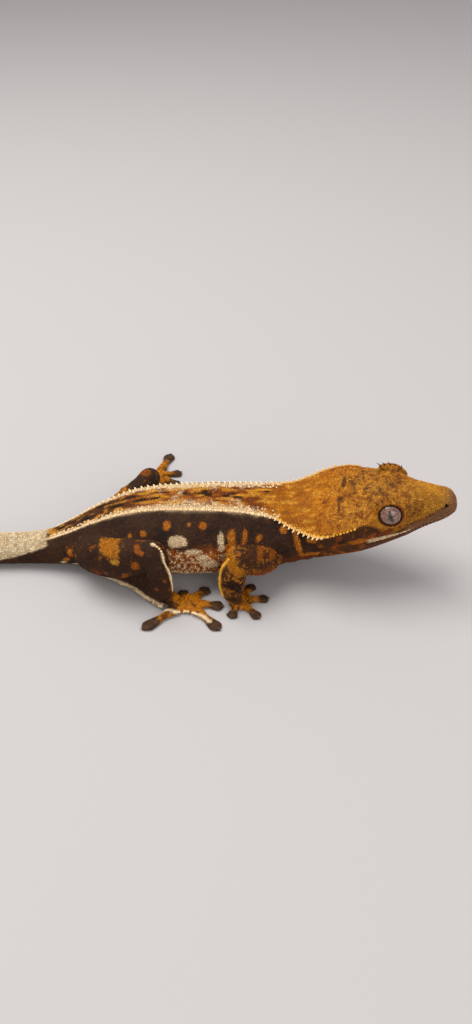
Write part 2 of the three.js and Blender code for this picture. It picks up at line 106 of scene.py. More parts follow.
def blend(table, at):
    """Values at a distance on a smooth curve through the rows of a table."""
    at = np.atleast_1d(np.asarray(at, float))
    keys, values = table[:, 0], table[:, 1:]
    steps = np.diff(keys)
    slopes = np.diff(values, axis=0) / steps[:, None]
    leans = np.empty_like(values)
    leans[0], leans[-1] = slopes[0], slopes[-1]
    before, after = steps[:-1, None], steps[1:, None]
    leans[1:-1] = (slopes[:-1] * after + slopes[1:] * before) / (before + after)
    row = np.clip(np.searchsorted(keys, at, side="left") - 1, 0, len(keys) - 2)
    span = steps[row][:, None]
    t = np.clip((at - keys[row]) / steps[row], 0, 1)[:, None]
    start, end = values[row], values[row + 1]
    a, b = leans[row] * span, leans[row + 1] * span
    return start + a * t + (3 * (end - start) - 2 * a - b) * t**2 + (2 * (start - end) + a + b) * t**3


def unit(vectors):
    return vectors / np.maximum(np.linalg.norm(vectors, axis=-1, keepdims=True), 1e-9)


def frames_at(along):
    """Centre, forward, left and up of the cross-section at each distance."""
    along = np.atleast_1d(np.asarray(along, float))
    centre = blend(SPINE, along)
    ahead = blend(SPINE, np.maximum(along - 0.5, 0))
    after = blend(SPINE, np.minimum(along + 0.5, TAIL_END))
    forward = unit(ahead - after)
    left = unit(np.cross((0, 0, 1.0), forward))
    up = np.cross(forward, left)
    roll = np.radians(blend(ROLL, along))
    return centre, forward, left * np.cos(roll) + up * np.sin(roll), up * np.cos(roll) - left * np.sin(roll)


def half_section(along, part, extra):
    """Out and up of the half outline, from the belly (0) over the crest edge to the back (1)."""
    half, above, below, crest_out, crest_up = blend(SECTIONS, along)[0] + extra
    q = (part - CREST_SHARE) / (1 - CREST_SHARE)
    share = part / CREST_SHARE
    angle = -math.pi / 2 + share * (CREST_ANGLE + math.pi / 2)
    pull = share ** (4 if along < NECK_END else 3)
    low_out = half * np.cos(angle) + pull * (crest_out - half * math.cos(CREST_ANGLE))
    low_up = np.where(angle < 0, below, above) * np.sin(angle)
    low_up = low_up + pull * (crest_up - above * math.sin(CREST_ANGLE))
    top_up = crest_up + (above - crest_up) * (1 - (1 - q) ** 2)
    return np.where(q >= 0, crest_out * (1 - q), low_out), np.where(q >= 0, top_up, low_up)


HEAD_CENTRE, HEAD_FORWARD, HEAD_LEFT, HEAD_UP = (v[0] for v in frames_at(0))


def head_place(behind, out, up):
    return HEAD_CENTRE - HEAD_FORWARD * behind + HEAD_LEFT * out + HEAD_UP * up


def eye_axis(side):
    flat = math.cos(EYE_TURN_UP)
    return (HEAD_LEFT * side * math.cos(EYE_TURN_FORWARD) * flat
            + HEAD_FORWARD * math.sin(EYE_TURN_FORWARD) * flat + HEAD_UP * math.sin(EYE_TURN_UP))


def eye_directions(side):
    """Ahead, upward and outward from one eye."""
    axis = eye_axis(side)
    upward = unit(HEAD_UP - axis * (HEAD_UP @ axis))
    return unit(HEAD_FORWARD - axis * (HEAD_FORWARD @ axis)), upward, axis


EYES = {side: head_place(EYE_BEHIND, side * EYE_OUT, EYE_UP) for side in (1, -1)}
# The solids stand on the middle of their outline, so the right eye tells how far they were moved
low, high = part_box("eye_right")
SHIFT = (np.array(low) + np.array(high)) / 2 / MM - EYES[-1]
SHIFT[2] = 0
print("shift of the solids, mm", SHIFT.round(2))


def world(points):
    """Metres in the frame, from millimetres in the body's own layout."""
    return (np.asarray(points, float) + SHIFT) * MM


# %% [markdown]
# Each leg is a bent, tapered tube from its root in the body to the wrist or ankle. The hind
# legs carry a fold of skin behind the thigh, down to a pale fringe near the floor.
# %% Sizes of the legs, in millimetres
LIMBS = {
    "right_front": dict(
        bones=[(9.6, -4.0, 8.4, 3.8), (8.2, -9.2, 9.6, 3.8), (4.9, -13.0, 11.6, 4.0),
               (0.5, -15.4, 14.2, 3.4), (-0.5, -16.4, 11.4, 3.5), (-1.0, -16.9, 7.5, 3.4),
               (-0.8, -16.8, 3.9, 2.8), (0.1, -17.0, 1.4, 1.9)],
        size=1.0, palm=(0.9, -17.0),
        toes=[(4.6, -10.2), (8.6, -15.4), (6.0, -22.7), (-1.4, -22.7), (-2.6, -11.6)],
        nodes=("upper_arm_right", "forearm_right", "hand_right")),
    "left_front": dict(
        bones=[(9.6, 5.6, 8.0, 3.8), (7.4, 10.8, 8.6, 3.6), (3.4, 15.4, 9.4, 3.2), (0.4, 17.6, 9.0, 2.9),
               (0.8, 18.4, 7.0, 2.9), (3.0, 19.2, 4.6, 2.7), (6.2, 19.8, 2.6, 2.3),
               (7.6, 20.0, 1.3, 1.7)],
        size=1.0, palm=(8.4, 20.4),
        toes=[(13.2, 15.2), (17.0, 18.8), (16.2, 25.4), (10.2, 29.2), (3.6, 26.8)],
        nodes=("upper_arm_left", "forearm_left", "hand_left")),
    "right_hind": dict(
        bones=[(-40.5, -2.0, 7.6, 4.2), (-36.8, -7.6, 9.4, 5.2), (-29.5, -12.3, 11.6, 5.2),
               (-20.8, -15.6, 15.8, 3.5), (-19.6, -16.8, 12.2, 3.2), (-19.0, -17.2, 7.4, 2.9),
               (-17.8, -17.2, 3.2, 2.4), (-15.6, -17.6, 1.6, 1.8)],
        size=1.15, palm=(-12.4, -17.7),
        toes=[(-14.4, -12.6), (-7.3, -11.5), (-3.2, -18.3), (-4.0, -26.8), (-23.7, -26.6)],
        web=[(-39.0, -7.4, 3.0), (-34.0, -9.4, 2.3), (-27.4, -13.2, 2.0), (-22.4, -17.4, 1.7),
             (-18.8, -19.8, 1.2)],
        nodes=("thigh_right", "shin_right", "foot_right")),
    "left_hind": dict(
        bones=[(-40.5, 3.0, 6.6, 4.0), (-37.0, 7.8, 7.0, 4.2), (-31.4, 12.8, 9.6, 3.9),
               (-25.9, 17.6, 12.8, 3.2), (-24.9, 22.4, 11.8, 3.0), (-25.0, 28.4, 7.4, 2.6),
               (-25.6, 33.6, 3.2, 2.1), (-25.2, 36.0, 1.6, 1.7)],
        size=1.15, palm=(-24.3, 38.2),
        toes=[(-22.0, 31.8), (-17.2, 34.4), (-16.9, 41.2), (-20.8, 51.4), (-35.2, 30.6)],
        web=[(-39.2, 8.6, 3.2), (-37.2, 13.4, 3.4), (-33.2, 20.2, 3.6), (-26.8, 27.4, 6.0)],
        nodes=("thigh_left", "shin_left", "foot_left")),
}
# Row of the elbow or knee in each list of bones
JOINT = 3
PALM_WIDE, PALM_HIGH, PALM_UP = 3.0, 1.6, 0.9
TOE_SHAPE = np.array([
    # share of the toe, half-width, half-height, height of the middle
    (0, 1.45, 1.0, 0.9), (0.34, 1.36, 0.95, 0.95), (0.56, 1.0, 0.8, 0.85),
    (0.74, 1.5, 0.66, 0.55), (0.87, 1.72, 0.66, 0.5), (1, 1.3, 0.5, 0.42),
])
WEB_THICK = 1.0
# How far from its own middle line a toe, a palm and a fringe reach, and how high a toe and a palm
TOE_REACH, PALM_REACH, FRINGE_REACH = 2.3, 3.6, 2.2
TOE_TOP, PALM_TOP = 2.2, 2.7


def numbered(rows):
    """A table whose keys are the numbers of its rows."""
    return np.array([(i, *row) for i, row in enumerate(rows)], float)


# %% [markdown]
# The flesh is roughed out as separate closed shapes, the way a sculptor pins sausages of clay
# together. A flat grid is rolled up into each shape: it keeps the rings tidy, and one merge
# by distance closes the seam.
# %% Roll a grid into a closed shape
def select_only(*pieces):
    """Selects these pieces and no others; the first becomes the active one."""
    if bpy.context.mode != "OBJECT":
        bpy.ops.object.mode_set(mode="OBJECT")
    bpy.ops.object.select_all(action="DESELECT")
    for piece in pieces:
        piece.select_set(True)
        bpy.context.view_layer.objects.active = pieces[0]


def mend(*steps):
    """Runs each step on all the faces of the active piece, then turns the faces outwards."""
    bpy.ops.object.mode_set(mode="EDIT")
    for step in (*steps, lambda: bpy.ops.mesh.normals_make_consistent(inside=False)):
        bpy.ops.mesh.select_all(action="SELECT")
        step()
    bpy.ops.object.mode_set(mode="OBJECT")


def coordinates(mesh):
    co = np.empty(len(mesh.vertices) * 3)
    mesh.vertices.foreach_get("co", co)
    return co.reshape(-1, 3)


def set_coordinates(mesh, co):
    mesh.vertices.foreach_set("co", np.ascontiguousarray(co, np.float64).ravel())
    mesh.update()


def rolled_grid(name, points):
    """A grid rolled into a closed tube through rings of points (rings, sides, 3), in mm."""
    rings, sides = points.shape[:2]
    select_only()
    bpy.ops.mesh.primitive_grid_add(x_subdivisions=sides, y_subdivisions=rings - 1, size=1)
    piece = bpy.context.object
    piece.name = name
    flat = coordinates(piece.data)
    side = np.rint((flat[:, 0] + 0.5) * sides).astype(int) % sides
    ring = np.rint((flat[:, 1] + 0.5) * (rings - 1)).astype(int)
    set_coordinates(piece.data, world(points[ring, side]))
    mend(lambda: bpy.ops.mesh.remove_doubles(threshold=1e-6), lambda: bpy.ops.mesh.fill_holes(sides=0))
    return piece


def oval_rings(centres, lefts, ups, wide, high, sides):
    angle = np.linspace(0, 2 * math.pi, sides, endpoint=False)[None, :, None]
    return (centres[:, None] + lefts[:, None] * np.sin(angle) * wide[:, None, None]
            - ups[:, None] * np.cos(angle) * high[:, None, None])


def body_rings(sides=72):
    """Rings of the body's outline, closer together at the snout than on the trunk."""
    along = np.concatenate([np.arange(0, 2, 0.25), np.arange(2, 48, 0.6), np.arange(48, TAIL_END - 1, 1.2),
                            [TAIL_END - 0.5, TAIL_END]])
    centre, _, left, up = frames_at(along)
    turn = np.arange(sides) / sides
    part = np.where(turn <= 0.5, turn * 2, (1 - turn) * 2)
    side = np.where(turn <= 0.5, 1, -1)
    rings = []
    for i, at in enumerate(along):
        out, height = half_section(at, part, -COAT)
        rings.append(centre[i] + np.outer(out * side, left[i]) + np.outer(height, up[i]))
    return np.array(rings)


def limb_rings(bones, hint, sides=28, steps=24):
    """Tube along half of a leg; the hint keeps its rings from twisting."""
    table = numbered(bones)
    last = len(bones) - 1
    at = np.linspace(0, last, steps)
    values = blend(table, at)
    ahead, after = (blend(table, np.clip(at + step, 0, last))[:, :3] for step in (-0.05, 0.05))
    forward = unit(ahead - after)
    left = unit(np.cross(hint, forward))
    radius = values[:, 3] - COAT
    return oval_rings(values[:, :3], left, np.cross(forward, left), radius, radius, sides)


def toe_rings(limb, tip, sides=20, steps=26):
    """Tube of a toe, from the palm to the round end of its pad."""
    palm = np.array(limb["palm"])
    share = np.linspace(0, 1, steps)
    wide, high, middle = blend(TOE_SHAPE, share).T
    rest = np.clip((1.005 - share) / 0.14, 0.01, 1)
    wide = wide * np.sqrt(rest * (2 - rest))
    spots = palm + (np.array(tip) - palm) * share[:, None]
    forward = unit(np.array([palm[0] - tip[0], palm[1] - tip[1], 0.0]))
    left = np.cross((0, 0, 1.0), forward)
    centres = np.column_stack([spots, middle])
    lefts = np.tile(left, (steps, 1))
    ups = np.tile((0, 0, 1.0), (steps, 1))
    return oval_rings(centres, lefts, ups, wide * limb["size"] - COAT, high - COAT * 0.6, sides)


def palm_rings(limb, sides=24, steps=15):
    """A flattened ball for the palm."""
    angle = np.linspace(0.02, math.pi - 0.02, steps)
    wide = PALM_WIDE * limb["size"] - COAT
    x, y = limb["palm"]
    height = PALM_UP + (PALM_HIGH - COAT) * np.cos(angle)
    centres = np.column_stack([np.full(steps, x), np.full(steps, y), height])
    radius = wide * np.sin(angle)
    lefts = np.tile((1.0, 0, 0), (steps, 1))
    ups = np.tile((0, 1.0, 0), (steps, 1))
    return oval_rings(centres, lefts, ups, radius, radius, sides)


def web_rings(limb, steps=30):
    """The fold of skin, as a flat tube from the leg's middle down to its fringe."""
    share = np.linspace(0, 1, steps)
    joints = limb["bones"][1:len(limb["web"]) + 1]
    bones = np.array([(i / (len(joints) - 1), *bone) for i, bone in enumerate(joints)])
    fringe = np.array([(i / (len(limb["web"]) - 1), *spot) for i, spot in enumerate(limb["web"])])
    top, bottom = blend(bones, share)[:, :3], blend(fringe, share)
    ups = (bottom - top) / 2
    across = unit(np.cross(np.gradient(bottom, axis=0), ups))
    high = np.linalg.norm(ups, axis=1)
    return oval_rings((top + bottom) / 2, across, unit(ups), np.full(steps, WEB_THICK / 2), high, 24)


def rough_ball(middle, radius):
    """Ball that fills the bend of an elbow or a knee."""
    select_only()
    bpy.ops.mesh.primitive_uv_sphere_add(segments=28, ring_count=16, radius=radius)
    ball = bpy.context.object
    set_coordinates(ball.data, world(coordinates(ball.data) + np.array(middle)))
    return ball


# %% [markdown]
# All the rough shapes are joined and then remeshed as small cubes of clay would be, which
# welds them into one skin with no seam. A little smoothing takes out the steps.
# %% Weld the shapes into one skin
parts = [rolled_grid("rough_body", body_rings())]
for limb in LIMBS.values():
    bones = limb["bones"]
    parts.append(rolled_grid("rough_upper", limb_rings(bones[:JOINT + 1], (0, 0, 1.0))))
    parts.append(rolled_grid("rough_lower", limb_rings(bones[JOINT:], (1.0, 0, 0))))
    parts.append(rough_ball(bones[JOINT][:3], bones[JOINT][3] - COAT))
    parts.append(rolled_grid("rough_palm", palm_rings(limb)))
    parts += [rolled_grid("rough_toe", toe_rings(limb, tip)) for tip in limb["toes"]]
    if "web" in limb:
        parts.append(rolled_grid("rough_web", web_rings(limb)))
for side, centre in EYES.items():
    select_only()
    bpy.ops.mesh.primitive_torus_add(major_radius=RIM_RADIUS, minor_radius=RIM_THICK, major_segments=48)
    rim = bpy.context.object
    ahead, upward, axis = eye_directions(side)
    flat = coordinates(rim.data)
    set_coordinates(rim.data, world(centre + axis * RIM_OUT + flat @ np.array([ahead, upward, axis])))
    parts.append(rim)
select_only(*parts)
bpy.ops.object.join()
skin = bpy.context.object
skin.name = "skin"
skin.data.remesh_voxel_size = SKIN_VOXEL * MM
skin.data.remesh_voxel_adaptivity = 0
bpy.ops.object.voxel_remesh()
smooth = skin.modifiers.new("smooth", "SMOOTH")
smooth.factor = 0.5
smooth.iterations = 3
bpy.ops.object.modifier_apply(modifier="smooth")
print("skin vertices", len(skin.data.vertices))

# %% [markdown]
# The mouth is one line, so it needs finer faces than the flanks do. Only the faces of the
# muzzle are selected and subdivided.
# %% Finer faces on the muzzle
skin_points = coordinates(skin.data) / MM - SHIFT
near_muzzle = -(skin_points - HEAD_CENTRE) @ HEAD_FORWARD < MUZZLE_END
bpy.context.tool_settings.mesh_select_mode = (True, False, False)
skin.data.polygons.foreach_set("select", np.zeros(len(skin.data.polygons), bool))
skin.data.edges.foreach_set("select", np.zeros(len(skin.data.edges), bool))
skin.data.vertices.foreach_set("select", near_muzzle)
bpy.ops.object.mode_set(mode="EDIT")
bpy.ops.mesh.subdivide(number_cuts=1, smoothness=0)
bpy.ops.object.mode_set(mode="OBJECT")
print("skin vertices after the muzzle", len(skin.data.vertices))


# %% [markdown]
# Every later step asks where a point lies on the animal: how far behind the snout, how far
# out and up, or which leg and toe. These measures place the folds and the markings, so the
# pattern follows the body and not the camera.
# %% Where a point lies on the animal
def smooth_step(low_edge, high_edge, value):
    t = np.clip((value - low_edge) / (high_edge - low_edge), 0, 1)
    return t * t * (3 - 2 * t)


def hump(gap, wide=1.0):
    """Bell curve: 1 where the gap is nothing, near 0 from twice the width."""
    return np.exp(-((gap / wide) ** 2))


def nearest_on(samples, points, chunk=20000):
    """Index of the nearest sample, and the distance to it, for each point."""
    index = np.empty(len(points), int)
    distance = np.empty(len(points))
    for start in range(0, len(points), chunk):
        block = points[start:start + chunk]
        gaps = ((block**2).sum(1)[:, None] + (samples**2).sum(1)[None] - 2 * block @ samples.T)
        best = gaps.argmin(1)
        index[start:start + chunk] = best
        distance[start:start + chunk] = np.sqrt(np.maximum(gaps[np.arange(len(block)), best], 0))
    return index, distance


def smooth_line(points, steps=90):
    return blend(numbered(points), np.linspace(0, len(points) - 1, steps))


ALONG = np.arange(0, TAIL_END + 0.01, 0.2)
LINE, LINE_FORWARD, LINE_LEFT, LINE_UP = frames_at(ALONG)


class Places:
    """Where each point lies: along, out and up on the body, and its leg and toe."""

    def __init__(self, points):
        self.points = points
        index, _ = nearest_on(LINE, points)
        rel = points - LINE[index]
        self.along = ALONG[index] - (rel * LINE_FORWARD[index]).sum(1)
        self.out = (rel * LINE_LEFT[index]).sum(1)
        self.up = (rel * LINE_UP[index]).sum(1)
        half, above, below, self.crest_out, self.crest_up = blend(SECTIONS, self.along).T
        tall = np.where(self.up > 0, above, below)
        body_share = np.sqrt((self.out / half) ** 2 + (self.up / tall) ** 2)
        self.angle = np.arctan2(self.out, -self.up)
        self.limb = np.zeros(len(points), int)
        self.bone = np.zeros(len(points))
        self.toe = np.zeros(len(points))
        self.to_pad = np.full(len(points), 9.0)
        best = np.maximum(body_share, 0.97)
        for k, limb in enumerate(LIMBS.values(), 1):
            table = numbered(limb["bones"])
            at = np.linspace(0.6, len(limb["bones"]) - 1, 120)
            values = blend(table, at)
            index, distance = nearest_on(values[:, :3], points)
            share = distance / values[index, 3]
            mine = share < best
            self.limb[mine], self.bone[mine] = k, at[index][mine]
            best = np.where(mine, share, best)
            palm = np.array([*limb["palm"], PALM_UP])
            for tip in limb["toes"]:
                reach = np.array([tip[0] - palm[0], tip[1] - palm[1], 0])
                long = np.linalg.norm(reach)
                t = np.clip((points - palm) @ reach / long**2, 0, 1)
                distance = np.linalg.norm(points - palm - t[:, None] * reach, axis=1)
                mine = (distance < TOE_REACH) & (points[:, 2] < TOE_TOP) & (t > 0.12)
                mine &= distance < self.to_pad
                self.to_pad[mine] = distance[mine]
                self.limb[mine], self.toe[mine] = k, t[mine]
                self.bone[mine] = len(limb["bones"]) - 1
            # The palm and the fold of skin belong to the leg as well
            mine = np.hypot(points[:, 0] - palm[0], points[:, 1] - palm[1]) < PALM_REACH
            mine &= points[:, 2] < PALM_TOP
            self.limb[mine & (self.limb == 0)] = k
            self.bone[mine & (self.toe == 0)] = len(limb["bones"]) - 1
            if "web" in limb:
                _, distance = nearest_on(smooth_line(limb["web"], 60), points)
                mine = (distance < FRINGE_REACH) & (self.limb == 0) & (body_share > 1.03)
                self.limb[mine], self.bone[mine] = k, 2.0


# %% [markdown]
# The skin is then worked by small moves of its vertices: a cup behind each eye, the line of
# the mouth with lips above and below it, nostrils, ears, a brow, and folds where it creases.
# %% Work the skin's details
MOUTH_DEPTH, LIP_SWELL, NOSTRIL_DEPTH, EAR_DEPTH = 0.62, 0.22, 0.75, 1.1


def mouth_line(behind):
    """Height of the mouth's line, which rises a little at the corner as if in a smile."""
    return MOUTH_UP + 0.9 * smooth_step(14, MOUTH_CORNER, behind)


def head_lift(place, behind, out, up):
    """How far the skin of the head moves outwards."""
    head = (place.limb == 0) & (place.along < HEAD_END)
    line = mouth_line(behind)
    on_muzzle = head & (behind < MOUTH_CORNER + 0.5) & (up < 3)
    fade = smooth_step(MOUTH_CORNER + 0.8, MOUTH_CORNER - 1.5, behind)
    lift = -np.where(on_muzzle, MOUTH_DEPTH * hump(up - line, 0.24) * fade, 0)
    lift += np.where(on_muzzle, LIP_SWELL * hump(np.abs(up - line) - 0.85, 0.5) * fade, 0)
    for side in (1, -1):
        nose = head_place(NOSTRIL[0], side * NOSTRIL[1], NOSTRIL[2])
        gap = np.linalg.norm(place.points - nose, axis=1)
        lift -= NOSTRIL_DEPTH * hump(gap, 0.45)
        lift += 0.16 * hump(gap - 0.95, 0.35)
        across = np.hypot((behind - EAR_BEHIND) / 1.5, (up - EAR_UP) / 0.85)
        lift -= np.where(head & (side * out > 5), EAR_DEPTH * np.exp(-(across**2) * 1.3), 0)
        # Brow over the eye, and the cheek below it
        brow = np.hypot((behind - 14.5) / 4.2, (up - 8.2) / 1.1)
        lift += np.where(head & (side * out > 3), 0.35 * hump(brow), 0)
        cheek = np.hypot((behind - 17.5) / 3.5, (up - 0.2) / 1.6)
        lift += np.where(head & (side * out > 3), 0.3 * hump(cheek), 0)
    # Shallow dish on top of the skull between the crests
    dish = hump(out, 4.5) * hump(behind - 27, 7)
    return lift - np.where(head & (up > 4), 0.45 * dish, 0)


def work_skin(mesh):
    points = coordinates(mesh) / MM - SHIFT
    normals = np.empty(len(mesh.vertices) * 3)
    mesh.vertices.foreach_get("normal", normals)
    place = Places(points)
    rel = points - HEAD_CENTRE
    lift = head_lift(place, -(rel @ HEAD_FORWARD), rel @ HEAD_LEFT, rel @ HEAD_UP)
    # Creases below the neck
    crease = np.sin(place.along * 1.75 + 0.5 * np.sin(place.up * 0.6))
    low_neck = smooth_step(34, 40, place.along) * smooth_step(60, 50, place.along)
    low_neck = low_neck * smooth_step(4, -4, place.up)
    lift += np.where(place.limb == 0, 0.16 * crease * low_neck, 0)
    points = points + normals.reshape(-1, 3) * lift[:, None]
    # Cup behind each eye
    radius = EYE_RADIUS + 0.12
    for side, centre in EYES.items():
        axis = eye_axis(side)
        rel = points - centre
        depth = rel @ axis
        across = rel - depth[:, None] * axis
        wide = np.linalg.norm(across, axis=1)
        inside = (np.linalg.norm(rel, axis=1) < radius) & (wide < radius)
        back = -np.sqrt(np.maximum(radius**2 - wide**2, 0))
        points[inside] = (centre + across + back[:, None] * axis)[inside]
    # Soles rest flat on the floor
    points[:, 2] = np.maximum(points[:, 2], SOLE_HEIGHT)
    set_coordinates(mesh, world(points))


work_skin(skin.data)
select_only(skin)
bpy.ops.object.shade_smooth()
print("skin triangles", sum(len(p.vertices) - 2 for p in skin.data.polygons))


# %% [markdown]
# A real crested gecko is coloured scale by scale. The colours here are worked out from the
# place on the body and are kept as an attribute, so the skin and the scales that stand on it
# carry the same markings.
# %% Colours and noise
def linear(hex_code):
    value = hex_code.lstrip("#")
    srgb = np.array([int(value[i:i + 2], 16) / 255 for i in (0, 2, 4)])
    return np.where(srgb <= 0.04045, srgb / 12.92, ((srgb + 0.055) / 1.055) ** 2.4)


GOLD = linear("#CC7F12")
AMBER = linear("#A4580A")
RUST = linear("#6E3106")
STRAW = linear("#E2A638")
OCHRE = linear("#B67E2C")
CREAM = linear("#EBCC9F")
BARK = linear("#442A1A")
SOOT = linear("#23140C")
UMBER = linear("#553214")
ORANGE = linear("#B9640F")
BRICK = linear("#833C10")
MAUVE = linear("#946744")
OLIVE = linear("#573D1F")
PAD = linear("#62442C")
TAIL_CREAM = linear("#E0CCA8")
TAN = linear("#B98A58")
SAND = linear("#C7A676")
JAW = linear("#6B4130")


def noise_at(points, scale, seed, stretch=1.0):
    """Smooth noise from -1 to 1 at each point; scale is the size of its blots in mm."""
    offset = Vector((seed * 17.3, seed * 5.1, seed * 9.7))
    narrow = points / np.array([scale * stretch, scale, scale])
    return np.array([noise.noise(Vector(p) + offset) for p in narrow.tolist()])


def mix(colour, other, amount):
    return colour + (np.asarray(other) - colour) * np.clip(amount, 0, 1)[:, None]


# %% [markdown]
# The marks that make this animal the one in the photograph are listed by where they lie:
# how far along, how high on the flank or how far out on the back, and how big they are.
# %% Marks of this animal, in millimetres
# Flank flecks: along, up, half-length, half-height
ORANGE_MARKS = [
    (75.2, 7.0, 0.7, 0.6), (66.0, 7.0, 0.9, 0.6), (69.6, 7.2, 0.4, 0.3), (55.7, 4.3, 0.95, 1.5),
    (51.8, 4.1, 1.0, 0.8), (59.2, 3.4, 1.3, 2.4), (44.6, 5.0, 0.9, 0.7), (40.9, 0.6, 0.85, 4.2),
    (36.2, 2.5, 1.5, 0.8), (32.8, 0.6, 2.4, 1.0), (28.5, -3.0, 2.4, 0.7), (101.0, 0.9, 1.3, 1.4),
    (103.6, -1.4, 1.0, 0.8), (81.0, 5.4, 0.7, 0.5), (84.2, 5.0, 0.6, 0.5), (37.5, -3.4, 2.2, 0.9),
    (64.6, 0.6, 1.3, 0.7), (24.4, 0.4, 2.3, 1.1),
]
CREAM_MARKS = [
    (72.4, 3.9, 2.5, 1.25), (69.2, 1.9, 1.9, 0.7), (66.6, 0.2, 1.5, 0.8), (65.0, -1.8, 1.8, 1.0),
    (62.0, 4.1, 0.9, 1.9), (61.0, 0.4, 1.0, 0.7), (105.4, -2.6, 1.2, 0.7), (101.6, -4.2, 1.6, 0.8),
]
# Dark dashes on the back: along, out, half-length, half-width
BACK_MARKS = [
    (56.8, -1.0, 1.3, 0.5), (58.4, 0.4, 1.1, 0.35), (60.2, -0.6, 1.0, 0.5), (65.6, 1.6, 0.8, 0.8),
    (66.4, 0.6, 1.3, 0.45), (64.8, 0.1, 1.1, 0.7), (70.8, 0.8, 0.8, 0.6), (76.8, 1.6, 1.8, 0.5),
    (78.5, -0.8, 1.4, 0.4), (82.0, -1.0, 1.8, 0.6), (87.5, -0.9, 2.2, 0.7), (84.6, 1.5, 2.0, 0.6),
    (92.0, 1.4, 2.2, 0.6), (95.5, -1.4, 2.0, 0.8), (99.5, 0.5, 2.4, 0.7), (103.6, -0.3, 2.0, 0.7),
    (48.8, 2.2, 0.8, 0.4), (62.6, -2.2, 0.9, 0.3),
]
# Marks on the head, in its own directions: behind, out, half-length, half-width
HEAD_MARKS = [(27.3, 3.7, 0.65, 2.1), (27.9, -2.2, 0.8, 0.8), (28.0, -4.6, 0.3, 1.8)]
# Marks on the legs: leg, middle, half-sizes, colour
LEG_MARKS = [
    (3, (-32.0, -13.2, 16.2), (2.9, 7.0, 2.2), GOLD), (3, (-30.4, -14.6, 14.0), (1.4, 6.0, 0.7), STRAW),
    (3, (-25.0, -18.3, 14.2), (1.0, 6.0, 1.1), ORANGE),
    (3, (-24.2, -17.0, 17.6), (1.3, 5.0, 0.5), ORANGE), (3, (-35.9, -13.4, 8.8), (1.6, 5.0, 1.2), BRICK),
    (3, (-28.6, -16.0, 8.6), (0.9, 5.0, 0.8), ORANGE), (3, (-22.8, -18.8, 9.6), (0.6, 5.0, 1.0), ORANGE),
    (3, (-17.2, -20.2, 2.4), (2.1, 1.9, 1.5), SOOT), (1, (0.2, -19.2, 3.0), (2.0, 2.0, 1.1), BARK),
    (1, (3.2, -14.8, 15.6), (2.8, 5.0, 1.8), BARK), (1, (5.9, -13.2, 14.6), (0.8, 6.0, 1.0), AMBER),
    (1, (9.4, -12.2, 13.0), (1.0, 6.0, 0.9), AMBER), (1, (-1.2, -17.0, 15.2), (1.2, 6.0, 2.2), GOLD),
    (1, (0.8, -19.0, 12.6), (1.3, 5.0, 1.2), GOLD), (1, (-0.8, -20.2, 9.2), (2.2, 5.0, 2.2), SOOT),
    (1, (6.0, -16.0, 10.2), (3.6, 5.0, 0.6), BRICK), (4, (-31.8, 14.6, 12.6), (2.8, 5.0, 2.0), GOLD),
    (4, (-25.6, 20.0, 14.6), (1.5, 2.6, 2.0), AMBER), (2, (5.6, 13.8, 11.4), (1.3, 5.0, 1.3), ORANGE),
    (2, (1.0, 18.0, 10.6), (1.6, 3.0, 1.6), GOLD),
]
# The left flank is not in view: its marks are the right one's, moved a little
LEFT_SHIFT = 1.9


# %% [markdown]
# The dark flank and the gold back meet on the crest. On the crest lies a ragged cream line,
# and the lower flank is a mix of cream and brick-coloured scales.
# %% Colours of the body
def oval(gap, ragged, edge=0.22):
    return smooth_step(1 + edge, 1 - edge, gap + 0.4 * ragged)


def flank_marks(place, colour, marks, tint, ragged, strength):
    for along, up, long, tall in marks:
        for side in (1, -1):
            shift = LEFT_SHIFT if side > 0 else 0
            gap = np.hypot((place.along - along - shift) / long, (place.up - up) / tall)
            colour = mix(colour, tint, oval(gap, ragged) * (place.out * side > 0) * strength)
    return colour


def back_colour(place, noises, over):
    """Gold back, dark at the rear, with ragged cream patches."""
    coarse, fine, blots, streaks = noises
    along, out = place.along, place.out
    trunk = smooth_step(44, 54, along)
    back = mix(GOLD, AMBER, 0.35 + 0.4 * trunk + 0.7 * coarse)
    back = mix(back, RUST, smooth_step(-0.05, 0.25, streaks + 0.5 * fine) * (0.3 + 0.55 * trunk))
    back = mix(back, STRAW, smooth_step(0.08, 0.4, -streaks - 0.4 * fine) * 0.6)
    umber = smooth_step(-0.45, -0.1, streaks - 0.12 + 0.5 * fine) * smooth_step(76, 92, along)
    back = mix(back, mix(UMBER, BARK, 0.4 + blots), umber * 0.95)
    # Cream spreads from the crest over the trunk in ragged patches, and in one cross-bar
    spread = 0.9 - 0.2 * np.maximum(over, 0) + 1.1 * blots + 0.9 * fine
    patchy = smooth_step(0.35, 0.75, spread) * smooth_step(48, 60, along) * smooth_step(84, 74, along)
    bar = 0.8 * hump(along - 72.9 + 0.4 * out + 1.6 * blots, 1.1)
    near = hump(along - 70.0, 4.6) * smooth_step(-1.2, -3.4, out + 1.4 * blots)
    corner = near + hump(along - 73.5, 2.6) * smooth_step(2.2, 4.2, out + 1.2 * blots)
    return mix(back, CREAM, np.maximum(patchy * 0.75, np.maximum(bar, corner) * (0.55 + 1.5 * fine)))


